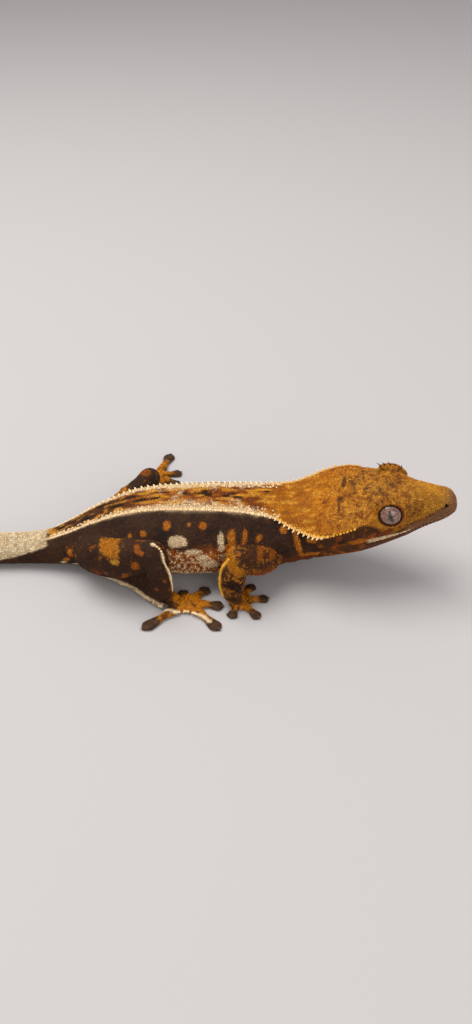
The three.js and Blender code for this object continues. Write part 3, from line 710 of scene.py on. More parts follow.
def flank_colour(place, noises):
    """Dark flank with a brick-coloured throat and a pale belly."""
    coarse, fine, blots, _ = noises
    along, out, up = place.along, place.out, place.up
    flank = mix(BARK, SOOT, 0.35 + 0.7 * coarse)
    flank = mix(flank, UMBER, smooth_step(0.0, 0.45, fine + 0.4 * blots) * 0.7)
    throat = smooth_step(64, 46, along) * smooth_step(-1.5, -5.0, up + 1.2 * blots)
    flank = mix(flank, BRICK, throat * (0.55 + 0.6 * fine))
    low = smooth_step(3.4, 1.2, up + 1.4 * blots) * smooth_step(55, 59, along) * smooth_step(80, 75, along)
    flank = mix(flank, mix(BRICK, ORANGE, 0.4 + fine), low * 0.95)
    flank = mix(flank, CREAM, low * smooth_step(-0.02, 0.22, fine + 0.25 * blots - 0.03 * (up + 3)) * 0.85)
    orange = mix(ORANGE, STRAW, 0.1 + 0.9 * fine)
    flank = flank_marks(place, flank, ORANGE_MARKS, orange, fine + 1.6 * blots, 0.9)
    flank = flank_marks(place, flank, CREAM_MARKS, CREAM * 0.9, fine + 1.6 * blots, 0.95)
    belly = smooth_step(-6.4, -9.0, up + 0.12 * np.abs(out)) * smooth_step(46, 56, along)
    return mix(flank, mix(OCHRE, CREAM, 0.5 + 0.7 * fine), belly * 0.85)


def body_colour(place, noises):
    _, fine, blots, _ = noises
    along, out, up = place.along, place.out, place.up
    # Positive on the back, negative on the flank, zero on the crest edge
    over = (place.crest_out - np.abs(out)) + (up - place.crest_up)
    back = back_colour(place, noises, over)
    colour = mix(flank_colour(place, noises), back, smooth_step(-0.45, 0.1, over + 0.2 * fine))
    for at, side_out, long, wide in BACK_MARKS:
        gap = np.hypot((along - at) / long, (out - side_out) / wide)
        colour = mix(colour, SOOT, oval(gap, fine + 0.8 * blots) * (up > 0) * 0.95)
    # Cream line along each crest, thin on the neck and broad on the trunk
    wide = 0.25 + 0.75 * smooth_step(44, 54, along) - 0.5 * smooth_step(80, 98, along)
    line = hump(over - 0.15 - 0.45 * wide + 0.5 * blots, wide) * smooth_step(112, 107, along)
    line = line * (0.15 + 0.85 * smooth_step(44, 49, along))
    return mix(colour, CREAM, 1.5 * line * (0.85 + 0.6 * fine) * (up > -2) * (along > 32))


# %% [markdown]
# The head is gold over the crests and snout, olive between the eyes, and mauve at the tip of
# the snout and along the lips. A cream strip fills the rear of the upper lip.
# %% Colours of the head
def line_of_gold(behind):
    """Height on the side of the snout above which it is gold."""
    return 1.6 * smooth_step(9, 1.5, behind) - 0.9 * smooth_step(10, 17, behind)


def crown_colour(noises, behind, out, up):
    """Gold top of the head, olive between the eyes."""
    coarse, fine, blots, _ = noises
    top = mix(GOLD, OCHRE, smooth_step(34, 22, behind) * (0.45 + 0.5 * coarse))
    top = mix(top, AMBER, 0.15 + 0.9 * np.maximum(blots, 0) + 0.7 * fine)
    top = mix(top, STRAW, smooth_step(0.1, 0.5, -fine - 0.5 * blots) * 0.4)
    top = mix(top, RUST, smooth_step(0.05, 0.4, fine + 0.4 * coarse + 0.4 * blots) * 0.6)
    top = mix(top, STRAW, smooth_step(14, 5, behind) * (0.3 + 0.4 * fine))
    top = mix(top, AMBER, hump(behind - 31, 3.4) * smooth_step(4, 8, np.abs(out)) * 0.35)
    crown = hump(behind - 19.5, 6.5) * hump(out - 1.0, 5.0)
    top = mix(top, OLIVE, crown * (0.45 + 0.9 * blots + 1.1 * fine))
    for at, side_out, long, wide in HEAD_MARKS:
        gap = np.hypot((behind - at) / long, (out - side_out) / wide)
        top = mix(top, SOOT, oval(gap, fine) * (up > 3) * 0.8)
    return top


def muzzle_colour(head, noises, behind, up):
    """Mauve lips and snout, a cream strip on the upper lip, and painted shade along the mouth line."""
    coarse, fine, _, _ = noises
    snout = smooth_step(4.6, 1.2, behind + 0.45 * np.maximum(up, 0) - 0.5 * coarse)
    lips = smooth_step(0.2, -1.1, up - line_of_gold(behind) - 0.4 * coarse) * smooth_step(15.5, 11, behind)
    head = mix(head, MAUVE, np.maximum(snout, lips) * (0.85 + 0.3 * fine))
    line = mouth_line(behind)
    half = 0.12 + 0.72 * smooth_step(9, 20, behind)
    strip = smooth_step(1.15, 0.8, np.abs(up - line - 0.2 - half) / half)
    strip = strip * smooth_step(8, 10.5, behind) * smooth_step(MOUTH_CORNER, 21.4, behind)
    head = mix(head, CREAM, strip * 0.95)
    jaw = smooth_step(0.05, -0.25, up - line) * smooth_step(26, 20, behind)
    head = mix(head, mix(JAW, UMBER, 0.4 + coarse), jaw * 0.9)
    # Painted shade darkens the crease of the mouth line
    return mix(head, SOOT, hump(up - line, 0.26) * smooth_step(MOUTH_CORNER + 0.6, 20, behind) * 0.9)


def head_colour(place, colour, noises):
    coarse, fine, blots, _ = noises
    rel = place.points - HEAD_CENTRE
    behind, out, up = -(rel @ HEAD_FORWARD), rel @ HEAD_LEFT, rel @ HEAD_UP
    over = (place.crest_out - np.abs(out)) + (up - place.crest_up)
    top = crown_colour(noises, behind, out, up)
    side = mix(UMBER, BARK, 0.7 * coarse)
    side = mix(side, BRICK, smooth_step(-0.15, 0.3, blots + 0.6 * fine) * 0.75)
    side = mix(side, ORANGE, smooth_step(0.05, 0.45, blots + 0.8 * fine) * 0.6)
    # Behind the eye the gold stops at the crest; before it, the gold runs down towards the lips
    edge_front = up - line_of_gold(behind) + 0.7 * coarse
    share = smooth_step(15.5, 22.5, behind)
    edge = (over + 0.2) * share + edge_front * (1 - share)
    head = mix(side, top, smooth_step(-0.5, 0.5, edge + 0.4 * fine))
    # Before the eye, behind the eye, on the jaw and below the eye
    loreal = hump(behind - 9.5, 3.4) * hump(up - 2.6, 2.2) * (np.abs(out) > 2.5)
    head = mix(head, UMBER, loreal * (0.45 + 0.8 * fine))
    on_side = np.abs(out) > 5
    stripe = smooth_step(17.5, 20.5, behind) * hump(up - 2.2, 1.5) * on_side
    head = mix(head, BARK, stripe * (0.65 + 0.4 * coarse))
    patch = oval(np.hypot((behind - 24.4) / 2.3, (up - 0.3) / 1.1), fine)
    head = mix(head, mix(ORANGE, GOLD, 0.3 + fine), patch * on_side * 0.9)
    patch = oval(np.hypot((behind - 17.2) / 2.0, (up - 0.5) / 0.75), fine)
    head = mix(head, BRICK, patch * on_side * 0.9)
    head = muzzle_colour(head, noises, behind, up)
    # Painted shade darkens the nostril and ear openings
    for s in (1, -1):
        nose = head_place(NOSTRIL[0], s * NOSTRIL[1], NOSTRIL[2])
        head = mix(head, SOOT * 0.4, smooth_step(0.62, 0.32, np.linalg.norm(place.points - nose, axis=1)))
        ear = np.hypot((behind - EAR_BEHIND) / 1.3, (up - EAR_UP) / 0.7)
        head = mix(head, SOOT * 0.6, smooth_step(1.0, 0.7, ear) * (s * out > 5))
        rim = np.linalg.norm(place.points - EYES[s] - eye_axis(s) * 1.6, axis=1)
        head = mix(head, RUST, smooth_step(3.55, 2.9, rim) * 0.75)
    return mix(colour, head, smooth_step(HEAD_END, 33, place.along) * (place.along < HEAD_END))


# %% [markdown]
# The tail is cream above with tan specks in faint rings, and the dark of the flank runs back
# below it in a point. Legs are dark with gold patches, and the feet gold with dark pads.
# %% Colours of the tail, the legs and the feet
def tail_colour(place, colour, noises):
    _, fine, blots, _ = noises
    pale = mix(TAIL_CREAM, CREAM, 0.3 + fine)
    rings = 0.5 + 0.5 * np.sin(place.along * 2 * math.pi / 2.6)
    pale = mix(pale, TAN, smooth_step(0.12, 0.4, fine * 0.8 + 0.25 * rings - 0.05) * 0.55)
    pale = mix(pale, SAND, smooth_step(0.1, 0.45, blots) * 0.35)
    # Distance at which the cream begins: early on top, late below
    begins = 108.6 + 4.0 * np.maximum(2.6 - place.up, 0)
    tail = smooth_step(-0.7, 0.7, place.along - begins + 1.4 * fine)
    tail = np.where(place.up < -2.3, np.minimum(tail, 0.3 + 0.3 * fine), tail)
    return mix(colour, pale, tail)


def leg_colour(place, noises):
    coarse, fine, blots, _ = noises
    colour = mix(BARK, SOOT, 0.3 + 0.7 * coarse)
    colour = mix(colour, UMBER, smooth_step(0.0, 0.45, fine + 0.4 * blots) * 0.7)
    colour = mix(colour, ORANGE, smooth_step(0.42, 0.6, blots + 0.5 * fine) * 0.5)
    arm = mix(UMBER, BARK, 0.5 + 0.8 * coarse + blots)
    arm = mix(arm, mix(AMBER, GOLD, 0.3 + fine), smooth_step(0.0, 0.45, 0.7 * blots + 1.1 * fine) * 0.7)
    # The first two legs of the table are the arms
    colour = np.where((place.limb < 3)[:, None], arm, colour)
    foot = smooth_step(5.9, 6.7, place.bone + 0.4 * blots)
    gold = mix(GOLD, AMBER, 0.2 + 0.8 * fine)
    gold = mix(gold, RUST, smooth_step(0.05, 0.4, fine + 0.4 * blots) * 0.6)
    gold = mix(gold, UMBER, smooth_step(0.1, 0.4, blots + 0.3 * fine) * 0.75)
    colour = mix(colour, gold, foot)
    for leg, middle, sizes, tint in LEG_MARKS:
        gap = np.sqrt((((place.points - np.array(middle)) / np.array(sizes)) ** 2).sum(1))
        spotted = mix(tint * 0.85, RUST, smooth_step(0.0, 0.45, fine) * 0.6)
        colour = mix(colour, spotted, oval(gap, fine + 1.4 * blots) * (place.limb == leg) * 0.9)
    pads = smooth_step(0.58, 0.7, place.toe + 0.12 * fine)
    return mix(colour, mix(PAD, SOOT, 0.25 + 0.8 * fine), pads)


# Lines, colour and width of the pale edges: behind each thigh, before the shin, round the
# foot, and before and behind the forearm
PALE_EDGES = [
    (smooth_line(LIMBS["right_hind"]["web"]), CREAM, 1.5),
    (smooth_line(LIMBS["left_hind"]["web"]), CREAM, 1.15),
    (smooth_line([(-20.6, -15.6, 19.0), (-18.6, -17.0, 17.0), (-17.2, -18.6, 15.0), (-16.5, -18.0, 11.4),
                  (-16.1, -17.8, 8.2), (-15.6, -18.2, 5.4)]), CREAM, 0.75),
    (smooth_line([(-18.9, -20.4, 1.2), (-15.6, -21.4, 1.4), (-12.2, -21.8, 1.2), (-8.8, -22.6, 1.2),
                  (-6.6, -24.6, 1.0)]), CREAM, 0.75),
    (smooth_line([(-2.2, -17.6, 15.8), (-3.9, -17.4, 12.4), (-4.3, -18.0, 8.6), (-3.4, -18.4, 4.6)]),
     STRAW, 0.8),
    (smooth_line([(10.6, -12.4, 8.4), (7.0, -15.6, 9.0), (3.6, -18.6, 9.2), (2.4, -19.4, 7.0)]),
     BRICK, 0.6),
]


def pale_edges(place, colour, fine):
    """Pale scales along the edges of the legs."""
    for line, tint, reach in PALE_EDGES:
        _, gap = nearest_on(line, place.points)
        edge = smooth_step(reach, reach * 0.55, gap + 0.3 * fine) * (place.limb > 0)
        colour = mix(colour, tint, edge * 0.95)
    return colour


def colours_at(points, dither=0.0):
    """Linear colour of the animal at each point, from where it lies on the body."""
    place = Places(points)
    coarse = noise_at(points, 5.0, 1)
    fine = 0.75 * noise_at(points, 0.8, 2) + dither
    blots = noise_at(points, 2.2, 3)
    streaks = noise_at(points, 1.3, 4, stretch=2.6)
    noises = (coarse, fine, blots, streaks)
    body = body_colour(place, noises)
    body = head_colour(place, body, noises)
    body = tail_colour(place, body, noises)
    colour = np.where((place.limb > 0)[:, None], leg_colour(place, noises), body)
    return np.clip(pale_edges(place, colour, fine), 0.002, 1), place


def paint(mesh, colours):
    """Keeps a colour for each vertex in the attribute that the material reads."""
    layer = mesh.attributes.new("tint", "FLOAT_COLOR", "POINT")
    rgba = np.column_stack([colours, np.ones(len(colours))])
    layer.data.foreach_set("color", rgba.ravel())


# The skin is darkened as painted shade: to half between the scales, and only a little on the bare soles
GAP_SHADE, BARE_SOLE = 0.5, 0.9
skin_points = coordinates(skin.data) / MM - SHIFT
skin_colours, _ = colours_at(skin_points)
# Painted shade in the gaps between the scales, less on the soles
painted_gap_shade = np.where(skin_points[:, 2] < 0.35, BARE_SOLE, GAP_SHADE)
paint(skin.data, skin_colours * painted_gap_shade[:, None])
print("skin painted at", len(skin_colours), "vertices")


# %% [markdown]
# Each material starts from what the real thing is. Reptile skin is dry keratin: it shines
# only a little, its colour lies in the scales, and fine grain breaks the light.
# %% Materials
def add_node(material, kind, links=None, values=None, **settings):
    """Adds a node with its settings, its inputs' values, and links from other nodes' outputs."""
    node = material.node_tree.nodes.new(kind)
    for key, setting in settings.items():
        setattr(node, key, setting)
    for key, value in (values or {}).items():
        node.inputs[key].default_value = value
    for key, source in (links or {}).items():
        material.node_tree.links.new(source, node.inputs[key])
    return node


def add_attribute(material, name):
    return add_node(material, "ShaderNodeAttribute", attribute_name=name).outputs


def add_maths(material, operation, *inputs):
    """Adds a maths node; each input is a number or another node's output."""
    numbers = {i: value for i, value in enumerate(inputs) if isinstance(value, float)}
    sources = {i: value for i, value in enumerate(inputs) if i not in numbers}
    return add_node(material, "ShaderNodeMath", sources, numbers, operation=operation).outputs[0]


def rescale(material, source, start, end, low, high):
    """Maps the values from start to end onto those from low to high."""
    values = {"From Min": start, "From Max": end, "To Min": low, "To Max": high}
    return add_node(material, "ShaderNodeMapRange", {"Value": source}, values).outputs["Result"]


def new_material(name, **settings):
    material = bpy.data.materials.new(name)
    material.use_nodes = True
    shader = material.node_tree.nodes["Principled BSDF"]
    for key, value in settings.items():
        shader.inputs[key].default_value = value
    return material, shader


def connect(material, source, target):
    material.node_tree.links.new(source, target)


GRAIN_PITCH, GRAIN_DEPTH = 0.4 * MM, 0.08 * MM
MOTTLE_SIZE = 1.1 * MM


def keratin_material(name, bump_strength):
    """Dry scaly keratin: IOR 1.54, roughness 0.5 to 0.75, grain pitch 0.4 mm."""
    material, shader = new_material(name, IOR=1.54, Roughness=0.55)
    shader.inputs["Specular IOR Level"].default_value = 0.11
    place = add_node(material, "ShaderNodeTexCoord").outputs["Object"]
    tint = add_attribute(material, "tint")["Color"]
    mottle = add_node(material, "ShaderNodeTexNoise", {"Vector": place},
                      {"Scale": 1 / MOTTLE_SIZE, "Detail": 3.0}).outputs["Fac"]
    shade = rescale(material, mottle, 0.3, 0.7, 0.82, 1.14)
    colour = add_node(material, "ShaderNodeVectorMath", {0: tint, 1: shade}, operation="MULTIPLY")
    connect(material, colour.outputs["Vector"], shader.inputs["Base Color"])
    connect(material, rescale(material, mottle, 0.0, 1.0, 0.5, 0.75), shader.inputs["Roughness"])
    grain = add_node(material, "ShaderNodeTexVoronoi", {"Vector": place}, {"Scale": 1 / GRAIN_PITCH})
    bump = add_node(material, "ShaderNodeBump", {"Height": grain.outputs["Distance"]},
                    {"Strength": bump_strength, "Distance": GRAIN_DEPTH}, invert=True)
    connect(material, bump.outputs["Normal"], shader.inputs["Normal"])
    return material


skin_material = keratin_material("dry_skin_keratin", 0.5)
scale_material = keratin_material("granular_scale_keratin", 0.12)
skin.data.materials.clear()
skin.data.materials.append(skin_material)

# %% [markdown]
# The scales are little domes. One is modelled from a cone: its base is a hexagon and its
# sides swell to a rounded top. Blender scatters points over the skin at an even spacing, and
# the dome is then copied to every point as one joined mesh.
# %% Model one granular scale
select_only()
bpy.ops.mesh.primitive_cone_add(vertices=6, radius1=1, radius2=0.62, depth=1, end_fill_type="TRIFAN")
dome = bpy.context.object
DOME = coordinates(dome.data)
DOME[:, 2] += 0.5
on_rim = DOME[:, 2] > 0.9
at_middle = np.hypot(DOME[:, 0], DOME[:, 1]) < 0.1
DOME[on_rim, 2] = np.where(at_middle[on_rim], 1.0, 0.72)
# Only the sides and the top are kept, for the foot lies in the skin
dome_faces = [list(face.vertices) for face in dome.data.polygons]
dome_faces = [face for face in dome_faces if len(face) == 4 or DOME[face, 2].min() > 0.01]
DOME_TRIS = np.array([(face[0], second, third) for face in dome_faces
                      for second, third in zip(face[1:], face[2:])])
bpy.data.objects.remove(dome)
print("one granule has", len(DOME_TRIS), "triangles")


# %% [markdown]
# A small node tree spreads points over the skin, none nearer to the next than the spacing,
# and keeps the skin's normal at each. NumPy then writes all the domes of a region at once.
# %% Scatter points and copy the scale to them
def scattered_points(mesh_object, spacing, seed):
    """Evenly spaced points on the surface, with their normals, as arrays in mm."""
    select_only(mesh_object)
    bpy.ops.object.duplicate()
    copy = bpy.context.object
    tree = bpy.data.node_groups.new("scatter", "GeometryNodeTree")
    tree.interface.new_socket("Geometry", in_out="INPUT", socket_type="NodeSocketGeometry")
    tree.interface.new_socket("Geometry", in_out="OUTPUT", socket_type="NodeSocketGeometry")
    start = tree.nodes.new("NodeGroupInput")
    spread = tree.nodes.new("GeometryNodeDistributePointsOnFaces")
    spread.distribute_method = "POISSON"
    spread.inputs["Distance Min"].default_value = spacing * MM
    spread.inputs["Density Max"].default_value = 4.0 / (spacing * MM) ** 2
    spread.inputs["Seed"].default_value = seed
    keep = tree.nodes.new("GeometryNodeStoreNamedAttribute")
    keep.data_type, keep.domain = "FLOAT_VECTOR", "POINT"
    keep.inputs["Name"].default_value = "facing"
    verts = tree.nodes.new("GeometryNodePointsToVertices")
    end = tree.nodes.new("NodeGroupOutput")
    tree.links.new(start.outputs[0], spread.inputs["Mesh"])
    tree.links.new(spread.outputs["Points"], keep.inputs["Geometry"])
    tree.links.new(spread.outputs["Normal"], keep.inputs["Value"])
    tree.links.new(keep.outputs["Geometry"], verts.inputs[0])
    tree.links.new(verts.outputs[0], end.inputs[0])
    modifier = copy.modifiers.new("scatter", "NODES")
    modifier.node_group = tree
    bpy.ops.object.modifier_apply(modifier="scatter")
    points = coordinates(copy.data) / MM - SHIFT
    facing = np.empty(len(points) * 3)
    copy.data.attributes["facing"].data.foreach_get("vector", facing)
    bpy.data.objects.remove(copy)
    return points, unit(facing.reshape(-1, 3))


def triangle_object(name, vertices, triangles, colours, bake_uv, material):
    """A mesh object from arrays: vertices in mm, triangles, and each vertex's colour and UV."""
    mesh = bpy.data.meshes.new(name)
    mesh.vertices.add(len(vertices))
    mesh.vertices.foreach_set("co", world(vertices).ravel())
    mesh.loops.add(triangles.size)
    mesh.loops.foreach_set("vertex_index", triangles.ravel().astype(np.int32))
    mesh.polygons.add(len(triangles))
    mesh.polygons.foreach_set("loop_start", np.arange(0, triangles.size, 3, dtype=np.int32))
    mesh.update(calc_edges=True)
    mesh.polygons.foreach_set("use_smooth", np.ones(len(triangles), bool))
    layer = mesh.uv_layers.new(name="OFBake")
    layer.data.foreach_set("uv", bake_uv[triangles.ravel()].astype(np.float32).ravel())
    paint(mesh, colours)
    piece = bpy.data.objects.new(name, mesh)
    bpy.context.scene.collection.objects.link(piece)
    mesh.materials.append(material)
    return piece


def unwrap_place(place):
    """Place of each point on an unwrap of the skin: the body's strip, and a strip for each leg."""
    body_u = 0.02 + 0.96 * np.clip(place.along / TAIL_END, 0, 1)
    body_v = 0.02 + 0.58 * (place.angle / (2 * math.pi) + 0.5)
    around = np.arctan2(place.points[:, 1] * 0.7 + place.points[:, 2], place.points[:, 0])
    around = around / (2 * math.pi) + 0.5
    limb_u = 0.02 + 0.24 * (place.limb - 1) + 0.22 * np.clip((place.bone + place.toe) / 8.2, 0, 1)
    limb_v = 0.64 + 0.34 * around
    on_limb = place.limb > 0
    return np.column_stack([np.where(on_limb, limb_u, body_u), np.where(on_limb, limb_v, body_v)])


# Painted shade at the foot of each scale and a painted highlight on its top
RELIEF_HEIGHTS, PAINTED_DOME_LIGHT = (0, 0.7, 1), (0.5, 0.95, 1.22)
# How deep a scale's foot lies in the skin, in mm
FOOT_DEPTH = 0.05


def copy_scales(name, points, facing, lie, wide, long, high, colours, uv):
    """Copies the dome to each point, turned to the skin and stretched along its lie."""
    side = unit(np.cross(facing, lie))
    ahead = np.cross(side, facing)
    verts = (points[:, None]
             + ahead[:, None] * (DOME[None, :, 0:1] * long[:, None, None])
             + side[:, None] * (DOME[None, :, 1:2] * wide[:, None, None])
             + facing[:, None] * (DOME[None, :, 2:3] * high[:, None, None] - FOOT_DEPTH))
    starts = np.arange(len(points)) * len(DOME)
    tris = (DOME_TRIS[None] + starts[:, None, None]).reshape(-1, 3)
    # Painted shade darkens each dome's foot and a painted highlight brightens its top
    dome_light = np.interp(DOME[:, 2], RELIEF_HEIGHTS, PAINTED_DOME_LIGHT)
    vertex_colours = np.clip((colours[:, None] * dome_light[None, :, None]).reshape(-1, 3), 0.001, 1)
    vertex_uv = (uv[:, None] + 0.0012 * DOME[None, :, :2]).reshape(-1, 2)
    return triangle_object(name, verts.reshape(-1, 3), tris, vertex_colours, vertex_uv, scale_material)


# %% [markdown]
# Each scale stands at least 0.37 mm from the next, and those of the face and toes are a
# little smaller. The scales differ in size and shade, which gives the speckled look.
# %% Cover the skin in scales
SPACING = 0.37
SCATTER_SEED, RANDOM_SEED = 4, 11
# How far single scales differ from each other in pattern, size, shade and height
DITHER, SIZES, SHADES, HEIGHTS = 0.34, (0.86, 1.18), (0.66, 1.32), (0.8, 1.15)
FACE_SIZE, TOE_SIZE, TOE_HEIGHT = 0.86, 0.8, 0.6
# No scale stands nearer than this to the eyeball or the floor
EYE_GAP, FLOOR_GAP = 0.25, 0.12
points, facing = scattered_points(skin, SPACING, SCATTER_SEED)
rng = np.random.default_rng(RANDOM_SEED)
colours, _ = colours_at(points, rng.uniform(-DITHER, DITHER, len(points)))
clear = points[:, 2] > FLOOR_GAP
for centre in EYES.values():
    clear &= np.linalg.norm(points - centre, axis=1) > EYE_RADIUS + EYE_GAP
# None under the soles either
clear &= ~((points[:, 2] < 0.6) & (facing[:, 2] < -0.5))
points, facing, colours = points[clear], facing[clear], colours[clear]
place = Places(points)
index, _ = nearest_on(LINE, points)
lie = -LINE_FORWARD[index]
size = 0.5 * SPACING * rng.uniform(*SIZES, len(points))
size *= np.where((place.along < 20) & (place.limb == 0), FACE_SIZE, 1.0)
size *= np.where(place.toe > 0.5, TOE_SIZE, 1.0)
colours = colours * rng.uniform(*SHADES, len(points))[:, None]
high = (COAT + FOOT_DEPTH) * rng.uniform(*HEIGHTS, len(points))
high *= np.where(place.toe > 0.5, TOE_HEIGHT, 1.0)
uv = unwrap_place(place)
# Where the scales of the head, the neck and the trunk end, along the body
HEAD_EDGE, NECK_EDGE, TRUNK_EDGE = 26, 48, 108


def on_part(start, end):
    return (place.limb == 0) & (place.along >= start) & (place.along < end)


REGIONS = {
    "scales_head": on_part(-math.inf, HEAD_EDGE),
    "scales_neck": on_part(HEAD_EDGE, NECK_EDGE),
    "scales_trunk_right": on_part(NECK_EDGE, TRUNK_EDGE) & (place.out < 0),
    "scales_trunk_left": on_part(NECK_EDGE, TRUNK_EDGE) & (place.out >= 0),
    "scales_tail": on_part(TRUNK_EDGE, math.inf),
    "scales_legs_right": (place.limb == 1) | (place.limb == 3),
    "scales_legs_left": (place.limb == 2) | (place.limb == 4),
}
scales = []
for name, chosen in REGIONS.items():
    piece = copy_scales(name, points[chosen], facing[chosen], lie[chosen], size[chosen],
                        size[chosen] * 1.12, high[chosen], np.clip(colours[chosen], 0.002, 1), uv[chosen])
    scales.append(piece)
    print(name, int(chosen.sum()), "scales,", len(piece.data.polygons), "triangles")

# %% [markdown]
# The crest is a row of soft spines on each side, from behind the eye to the root of the
# tail, largest over the neck. Each is a cone with a slight backward curve, its root in the
# skin. On the trunk small cream beads lie above the row, as on the real crest.
# %% Crest spines and lash scales
SPINE_SIDES = 6
# Share of the length and share of the radius at each of a spine's rings
SPINE_RINGS = ((-0.35, 1.0), (0.15, 0.95), (0.5, 0.62), (0.8, 0.3))
# Share of the tip's colour on each of those rings
SPINE_TINT = (0.0, 0.1, 0.55, 1.0)
SPINE_BEND = 0.28


def spine_mesh(root, direction, bend, length, radius):
    """Curved cone of four rings and a tip; the arrays hold one spine."""
    direction = unit(np.asarray(direction))
    side = unit(np.cross(direction, bend))
    other = np.cross(side, direction)
    angle = np.arange(SPINE_SIDES) * 2 * math.pi / SPINE_SIDES
    circle = np.outer(np.cos(angle), side) + np.outer(np.sin(angle), other)
    rings = []
    for t, wide in SPINE_RINGS:
        middle = root + direction * length * t + bend * length * SPINE_BEND * max(t, 0) ** 2
        rings.append(middle + radius * wide * circle)
    tip = root + direction * length + bend * length * SPINE_BEND
    verts = np.vstack(rings + [tip[None]])
    tris = []
    last = (len(SPINE_RINGS) - 1) * SPINE_SIDES
    for start in range(0, last, SPINE_SIDES):
        for k in range(SPINE_SIDES):
            a, b = start + k, start + (k + 1) % SPINE_SIDES
            tris += [(a, b, b + SPINE_SIDES), (a, b + SPINE_SIDES, a + SPINE_SIDES)]
    tris += [(last + k, last + (k + 1) % SPINE_SIDES, len(verts) - 1) for k in range(SPINE_SIDES)]
    return verts, np.array(tris)


def joined_spines(name, spines, material):
    """One mesh of many spines: (root, direction, bend, length, radius, colour, tip colour)."""
    verts, tris, tints, uvs, offset = [], [], [], [], 0
    up_the_spine = np.append(np.repeat(SPINE_TINT, SPINE_SIDES), 1.0)[:, None]
    where = unwrap_place(Places(np.array([s[0] for s in spines])))
    for (root, direction, bend, length, radius, tint, tip), uv_spot in zip(spines, where):
        v, t = spine_mesh(root, direction, bend, length, radius)
        verts.append(v)
        tris.append(t + offset)
        tints.append(np.asarray(tint) * (1 - up_the_spine) + np.asarray(tip) * up_the_spine)
        uvs.append(uv_spot + 0.0015 * unit(v - v.mean(0))[:, :2])
        offset += len(v)
    return triangle_object(name, np.vstack(verts), np.vstack(tris), np.clip(np.vstack(tints), 0, 1),
                           np.vstack(uvs), material)


def crest_place(along, part, side):
    """Place on the crest's outline, and its outward, backward, sideways and upward directions."""
    (centre,), (forward,), (left,), (up,) = frames_at(along)
    out, height = half_section(along, np.array([part - 0.02, part, part + 0.02]), -COAT)
    return centre + left * out[1] * side + up * height[1], -forward, left * side, up


crest = []
CREST_START, CREST_STOP = 24.0, 106
SPINE_LENGTH, SPINE_RADIUS, SPINE_STEP = 0.85, 0.46, 1.45
BEADS_START, BEADS, BEAD_RADIUS = 44, 5, 0.28
for side in (1, -1):
    along = CREST_START
    while along < CREST_STOP:
        on_neck = float(smooth_step(30, 34, along) * smooth_step(50, 44, along))
        on_head = float(smooth_step(34, 28, along))
        rear = float(smooth_step(84, CREST_STOP, along))
        length = (SPINE_LENGTH + 0.45 * on_neck - 0.25 * on_head - 0.35 * rear) * rng.uniform(0.85, 1.15)
        wide = SPINE_RADIUS - 0.14 * on_head - 0.12 * rear
        spot, backward, outward, up = crest_place(along, CREST_SHARE, side)
        lean = outward + up * (0.5 * (1 - on_neck) + 0.1) + backward * 0.2
        on_gold = float(smooth_step(50, 45, along))
        tint = CREAM * 0.85 + (STRAW * 0.8 - CREAM * 0.85) * on_gold
        tip = CREAM * 1.08 + (STRAW - CREAM * 1.08) * on_head
        crest.append((spot, unit(lean), backward, length, wide, tint, tip))
        step = (SPINE_STEP + 0.25 * on_head - 0.3 * rear) * rng.uniform(0.92, 1.08)
        # A smaller spine between each two, and cream beads above the row
        spot, backward, outward, up = crest_place(along + step / 2, CREST_SHARE, side)
        lean = unit(outward + up * 0.4)
        crest.append((spot, lean, backward, length * 0.45, wide * 0.75, tint, tip * 0.9))
        if along > BEADS_START:
            for part in CREST_SHARE + rng.uniform(-0.004, 0.09, BEADS):
                spot, backward, outward, up = crest_place(along + rng.uniform(0, step), part, side)
                pale = CREAM * rng.uniform(0.75, 1.0)
                tall = length * rng.uniform(0.2, 0.45)
                crest.append((spot, unit(outward + up), backward, tall, BEAD_RADIUS, pale * 0.9, pale))
        along += step
crest_piece = joined_spines("crest_spines", crest, scale_material)
print("crest spines and beads", len(crest))

lashes = []
LASHES, LASH_LENGTH, LASH_RADIUS = 5, 1.9, 0.22
for side, centre in EYES.items():
    ahead, upward, axis = eye_directions(side)
    for angle in np.radians(np.linspace(-35, 50, LASHES)):
        away = upward * math.cos(angle) + ahead * math.sin(angle)
        root = centre + axis * RIM_OUT + away * (RIM_RADIUS + 0.35)
        lean = unit(away + HEAD_UP * 0.5 + axis * 0.2)
        length = LASH_LENGTH * rng.uniform(0.75, 1.1)
        lashes.append((root, lean, -HEAD_FORWARD, length, LASH_RADIUS, UMBER, SOOT))
        for turn in (-0.13, 0.13):
            away = upward * math.cos(angle + turn) + ahead * math.sin(angle + turn)
            root = centre + axis * (RIM_OUT + 0.2) + away * (RIM_RADIUS + 0.2)
            lashes.append((root, unit(away + axis * 0.7), -HEAD_FORWARD, 0.5, 0.18, RUST, AMBER))
lash_piece = joined_spines("lash_scales", lashes, scale_material)

